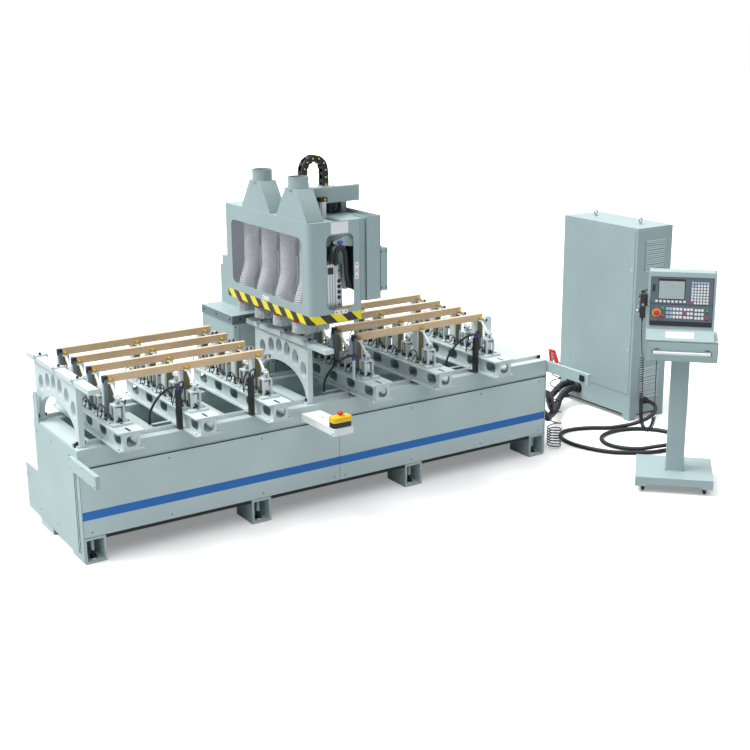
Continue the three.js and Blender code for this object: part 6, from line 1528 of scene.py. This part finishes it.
# A black plinth between the cabinet's legs: painted shadow under the cabinet.
form.prism("z", rounded(4524, 4822, 238, 996, 4, 2), 22, 46, BLACK_STEEL)
for x, way in ((4556, 1), (4790, -1)):
    for y in (209, 1023):
        form.prism("y", [(x, 46.4), (x + way * 24, 46.4), (x, 16)], y, y + 3, SHEET)
for y, way in ((270, 1), (964, -1)):
    for x in (4495, 4849):
        form.prism("x", [(y, 46.4), (y + way * 24, 46.4), (y, 16)], x, x + 2.6, SHEET)
for y in (207.6, 1025):
    form.box(4493.6, 4852.4, y, y + 1.4, 1484, 1487, FRAME_COAT)
for k in range(9):
    form.box(4850.6, 4854, 360 + 58 * k, 396 + 58 * k, 1240, 1248, SHEET)
form.make("cabinet_fittings", "base", edge=0.6)
form = Form()
for z in (560, 1180):
    form.rod((4491, 258, z), (4488.8, 258, z), 13, FRAME_COAT, 24, 12)
    form.box(4488.2, 4489.4, 250, 266, z - 1.6, z + 1.6, DUSK)
form.make("cabinet_door_locks", "cabinet_door", edge=0.3)

# %% [markdown]
# ## Operator console
# The console is a sheet stand on casters, with a drawer under its shelf and a leaning housing. The
# control panel is a generic one: a screen, keys in blocks, and a mushroom stop. It carries no words;
# what the real one has printed on it is left out.

# %% Stand with casters
TYRE = [(0, 13), (0.1, 17), (0.25, 18), (0.75, 18), (0.9, 17), (1, 13)]
form = Form(on_console)
form.prism("z", rounded(0, 502, 0, 455, 4, 3), 106.5, 110, SHEET)
skirt = [(0, 45), (62, 45), (76, 59), (426, 59), (440, 45), (502, 45), (502, 109), (0, 109)]
for v in (0.2, 451.8):
    form.prism("y", skirt, v, v + 3, SHEET)
for u in (0.2, 498.8):
    form.box(u, u + 3, 1, 454, 45, 109, SHEET)
form.prism("z", rounded(195, 311, 158, 274, 7, 4), 109, 905.7, SHEET)
form.prism("z", rounded(187, 319, 150, 282, 5, 3), 109, 113, SHEET)
form.box(190, 316, 153, 279, 900, 905.7, SHEET)
form.turned((253, 274, 180), (253, 300, 180), [(0, 26), (0.3, 26), (0.35, 20), (1, 17)], ABS_BLACK, 24)
form.screws((194, 312), (157, 275), (113,), UPWARD, 4.5, 2)
for u, v in itertools.product((52, 450), (52, 403)):
    form.turned((u - 9, v, 18), (u + 9, v, 18), TYRE, RUBBER, 28)
    fork = [(v - 7, 12), (v + 7, 12), (v + 13, 44), (v - 13, 44)]
    for side in (-1, 1):
        form.rod((u + side * 8.6, v, 18), (u + side * 10, v, 18), 10, ABS_GREY, 20, 9)
        form.prism("x", fork, u + side * 11 - 1.2, u + side * 11 + 1.2, BLACK_STEEL)
    form.rod((u, v, 42), (u, v, 52), 17, BLACK_STEEL, 20, 19)
    form.rod((u - 12.6, v, 18), (u + 12.6, v, 18), 3, STEEL, 10)
form.make("console_stand_dressed", "base", "console_stand", edge=1.4)

# %% Tray and housing
form = Form(on_console)
for sheet in ((22, 25, 0, 292, 906, 1043), (471, 474, 0, 292, 906, 1043), (23, 473, 289, 292, 906, 1043),
              (23, 473, 0.4, 291, 906, 909), (23, 473, 0.2, 291.8, 1036, 1043)):
    form.box(*sheet, SHEET)
sill = [(0, 1043), (58, 1102), (66, 1102), (66, 1042.4)]
form.prism("x", sill, 20, 444, SHEET)
skin = [(58, 1100), (108, 1466), (214, 1466), (214, 1042.4), (208, 1042.4), (208, 1460),
        (113, 1460), (64.4, 1101)]
form.prism("x", skin, 21, 443, SHEET)
cheek = [(1, 1042.4), (58, 1101), (108, 1466), (214, 1466), (214, 1042.4)]
for u in (20, 438):
    form.prism("x", cheek, u, u + 6, SHEET)
form.box(11, 20.5, 90.2, 108, 1240, 1320, BLACK_STEEL)
for k in range(8):
    form.box(110 + 30 * k, 128 + 30 * k, 212, 216, 1380, 1386, DUSK)
form.rod((253, 213, 1209), (253, 219, 1209), 27, RUBBER, 24, 25)
form.screws((34, 430), (214,), (1120, 1440), BACKWARD, 5, 2.5)
form.make("console_housing_dressed", "base", "console_housing", edge=2.2)

# %% Drawer with its long handle
form = Form(on_console)
form.prism("y", rounded(26.3, 469.7, 909.6, 1032.7, 2, 2), -3, 3, SHEET)
for u in (27, 466):
    form.box(u, u + 3, 2, 209, 911, 1030, SHEET)
form.box(28, 468, 207, 210, 911, 1030, SHEET)
form.box(28, 468, 2, 209, 909.6, 913, SHEET)
form.prism("x", rounded(-33, -22, 958, 976, 4.5, 4), 68, 428, WHITE)
for u in (63, 427):
    form.box(u, u + 6, -32, -3, 959, 975, BLACK_STEEL)
for u in (77, 391):
    form.box(u, u + 32, -4.2, -3, 983, 989, BLACK_STEEL)
form.make("drawer_dressed", "console_drawer", "console_drawer", edge=1.2)

# %% [markdown]
# The keys are laid out in shares of the panel's width and height, block by block.


# %% Places on the panel
LEAN = math.atan2(50, 364)
P_LEFT, P_LOW, P_WIDE, P_TALL = 37, 23.27, 390, 312


def on_panel(u, s, d):
    return on_console(u, 58 + s * math.sin(LEAN) - d * math.cos(LEAN),
                      1102 + s * math.cos(LEAN) + d * math.sin(LEAN))


def across(share):
    return P_LEFT + P_WIDE * share


def up(share):
    return P_LOW + P_TALL * share


print("panel leans by", round(math.degrees(LEAN), 1), "degrees")

# %% Film, screen and keys
SLATE = moulded("slate panel film", 0x59616F, 0.42)
KEY_BLUE = moulded("pale blue keys", 0xA9BCD8, 0.42)
KEY_GREEN = moulded("green keys", 0x2FA55B, 0.4)
GLASS_EDGE = moulded("black bezel", 0x14171A, 0.3)
form = Form(on_panel)


def field(u0, u1, s0, s1, d0, d1, look, radius):
    """A flat field of the panel, given in shares of its width and height."""
    form.prism("z", rounded(across(u0), across(u1), up(s0), up(s1), radius, 2), d0, d1, look)


def keys(u0, s0, columns, rows, pitch_u, pitch_s, size, special):
    """A block of keys, counted from its upper left one, some with a finish of their own."""
    for column in range(columns):
        for row in range(rows):
            u, s = across(u0 + pitch_u * column), up(s0 - pitch_s * row)
            look = special.get((column, row), KEY_LIGHT)
            form.prism("z", centred(u, s, size / 2, size / 2, 1.8, 2), 5.6, 8.2, look)


form.prism("z", rounded(P_LEFT, P_LEFT + P_WIDE, P_LOW, P_LOW + P_TALL, 3, 3), 0.3, 4.4, GLASS_EDGE)
field(0.008, 0.992, 0.448, 0.99, 4, 6, SLATE, 2)
field(0.008, 0.992, 0.098, 0.436, 4, 6, SLATE, 2)
field(0.118, 0.548, 0.54, 0.965, 5.6, 6.9, GLASS_EDGE, 2)
field(0.129, 0.537, 0.556, 0.918, 6.6, 7.3, SCREEN, 1)
field(0.028, 0.068, 0.7, 0.838, 5.8, 7.6, GLASS_EDGE, 2)
keys(0.1, 0.503, 8, 1, 0.0635, 0, 14.5, {})
blue = {(c, 0): KEY_BLUE for c in range(6)}
blue.update({(c, 1): KEY_BLUE for c in range(2)})
blue[0, 7] = RED_FILM
keys(0.666, 0.897, 6, 8, 0.0478, 0.0587, 13.6, blue)
keys(0.282, 0.352, 5, 3, 0.0535, 0.082, 16.5, {(c, r): KEY_BLUE for c in (0, 1) for r in range(3)})
keys(0.562, 0.348, 3, 3, 0.0525, 0.082, 16, {(0, 1): RED_FILM})
keys(0.735, 0.342, 3, 3, 0.052, 0.082, 16, {})
for u, s, look in ((0.208, 0.362, KEY_GREEN), (0.205, 0.21, RED_FILM), (0.912, 0.335, KEY_GREEN),
                   (0.912, 0.18, RED_FILM)):
    form.prism("z", rounded(across(u) - 11, across(u) + 11, up(s) - 12, up(s) + 10, 3, 3),
               5.8, 10, GLASS_EDGE)
    form.prism("z", rounded(across(u) - 9.5, across(u) + 9.5, up(s) - 8, up(s) + 9, 3, 3), 9.8, 14, look)
STOP_U, STOP_S = across(0.108), up(0.265)
form.plate("z", [oval(STOP_U, STOP_S, 26, steps=40), oval(STOP_U, STOP_S, 20, steps=40)],
           5.6, 9.8, ABS_YELLOW)
form.screws((across(0.015), across(0.985)), (up(0.02), up(0.98)), (4.2,), UPWARD, 3.4, 2)
form.make("panel_with_keys", "base", "control_panel", edge=0.5)

# %% Panel stop button and blank plate
form = Form(on_panel)
form.rod((STOP_U, STOP_S, 6), (STOP_U, STOP_S, 13), 8.5, ABS_RED, 24)
cap = [(0, 15), (0.12, 18.4), (0.3, 19), (0.75, 18), (0.92, 15), (1, 10)]
form.turned((STOP_U, STOP_S, 10.8), (STOP_U, STOP_S, 25.2), cap, ABS_RED, 32)
form.make("console_mushroom", "console_stop", "console_stop_button", edge=0.5, sharp=60)
form = Form(on_console)
slope = Vector((0, 58, 59.5)).normalized()
base = Vector((232, 0.6, 1042.6))
plate = [base + Vector((u, 0, 0)) + slope * s + d * Vector((0, -0.716, 0.698)) for d in (0.2, 0.8)
         for u, s in ((-88, 20), (88, 20), (88, 66), (-88, 66))]
form.add(plate, [(3, 2, 1, 0), (4, 5, 6, 7), (0, 1, 5, 4), (1, 2, 6, 5), (2, 3, 7, 6), (3, 0, 4, 7)], LABEL)
form.make("blank_plate", "base", edge=0.2)

# %% Hand pendant
form = Form(on_console)
form.prism("x", rounded(60, 134, 1170, 1332, 11, 5), -25, 10.4, ABS_BLACK)
form.prism("x", rounded(64, 130, 1175, 1327, 8, 4), -27.6, -24.8, DUSK)
form.prism("x", rounded(80, 114, 1163, 1174, 4, 3), -24, 8, ABS_BLACK)
form.turned((-27.3, 97, 1222.4), (-35.3, 97, 1222.4),
            [(0, 28), (0.5, 27), (0.8, 25), (1, 20)], ABS_BLACK, 36)
form.turned((-34.8, 97, 1222.4), (-37, 97, 1222.4), [(0, 22), (0.8, 22), (1, 20.5)], LABEL, 36)
form.turned((-36, 84, 1212), (-47, 84, 1212), [(0, 5), (0.6, 6), (1, 4.4)], LABEL, 16)
for v in (78.5, 115.5):
    form.turned((-27.3, v, 1308.8), (-36.5, v, 1308.8), [(0, 10), (0.5, 9), (1, 8)], ABS_BLACK, 18)
    form.box(-37.5, -34, v - 1, v + 1, 1302, 1315, LABEL)
form.turned((-27, 97, 1266), (-33, 97, 1266), [(0, 9), (0.6, 9), (1, 7)], ABS_RED, 20)
form.turned((-8, 60.5, 1256), (-8, 52, 1256), [(0, 9), (0.8, 9), (1, 7)], ABS_GREY, 18)
form.box(10.2, 20.2, 97, 133, 1250, 1288, BLACK_STEEL)
form.prism("y", [(-22, 1326), (-22, 1340), (19, 1352), (19, 1346), (-8, 1334), (-8, 1326)],
           90, 112, ABS_BLACK)
sleeve = [(0, 8.5), (0.25, 7.6), (0.3, 6.2), (0.6, 5), (1, 3.2)]
form.turned((-8, 97, 1168), (-8, 97, 1132), sleeve, RUBBER, 18)
form.turned((98, 97, 906), (98, 97, 880), [(0, 10), (0.3, 10), (0.35, 6), (1, 3.2)], ABS_BLACK, 18)
form.make("hand_pendant", "base", "pendant", edge=1.2)

# %% Finishes of the kept solids
KEPT = {"bed_frame": RAILED, "left_end_cover": END_COAT, "right_end_cover": END_COAT,
        "front_panel_left": STRIPED, "front_panel_right": STRIPED, "rear_base": SLIDED, "column": SHEET,
        "head_frame": SHEET, "hood_window": CLEAR, "cabinet_body": SHEET, "cabinet_door": SHEET}
for i in range(1, 9):
    KEPT[f"workpiece_{i}"] = WOOD
for name, look in KEPT.items():
    solid = frame["nodes"][name]
    solid.data.materials.clear()
    solid.data.materials.append(look)
print("kept solids:", len(KEPT))
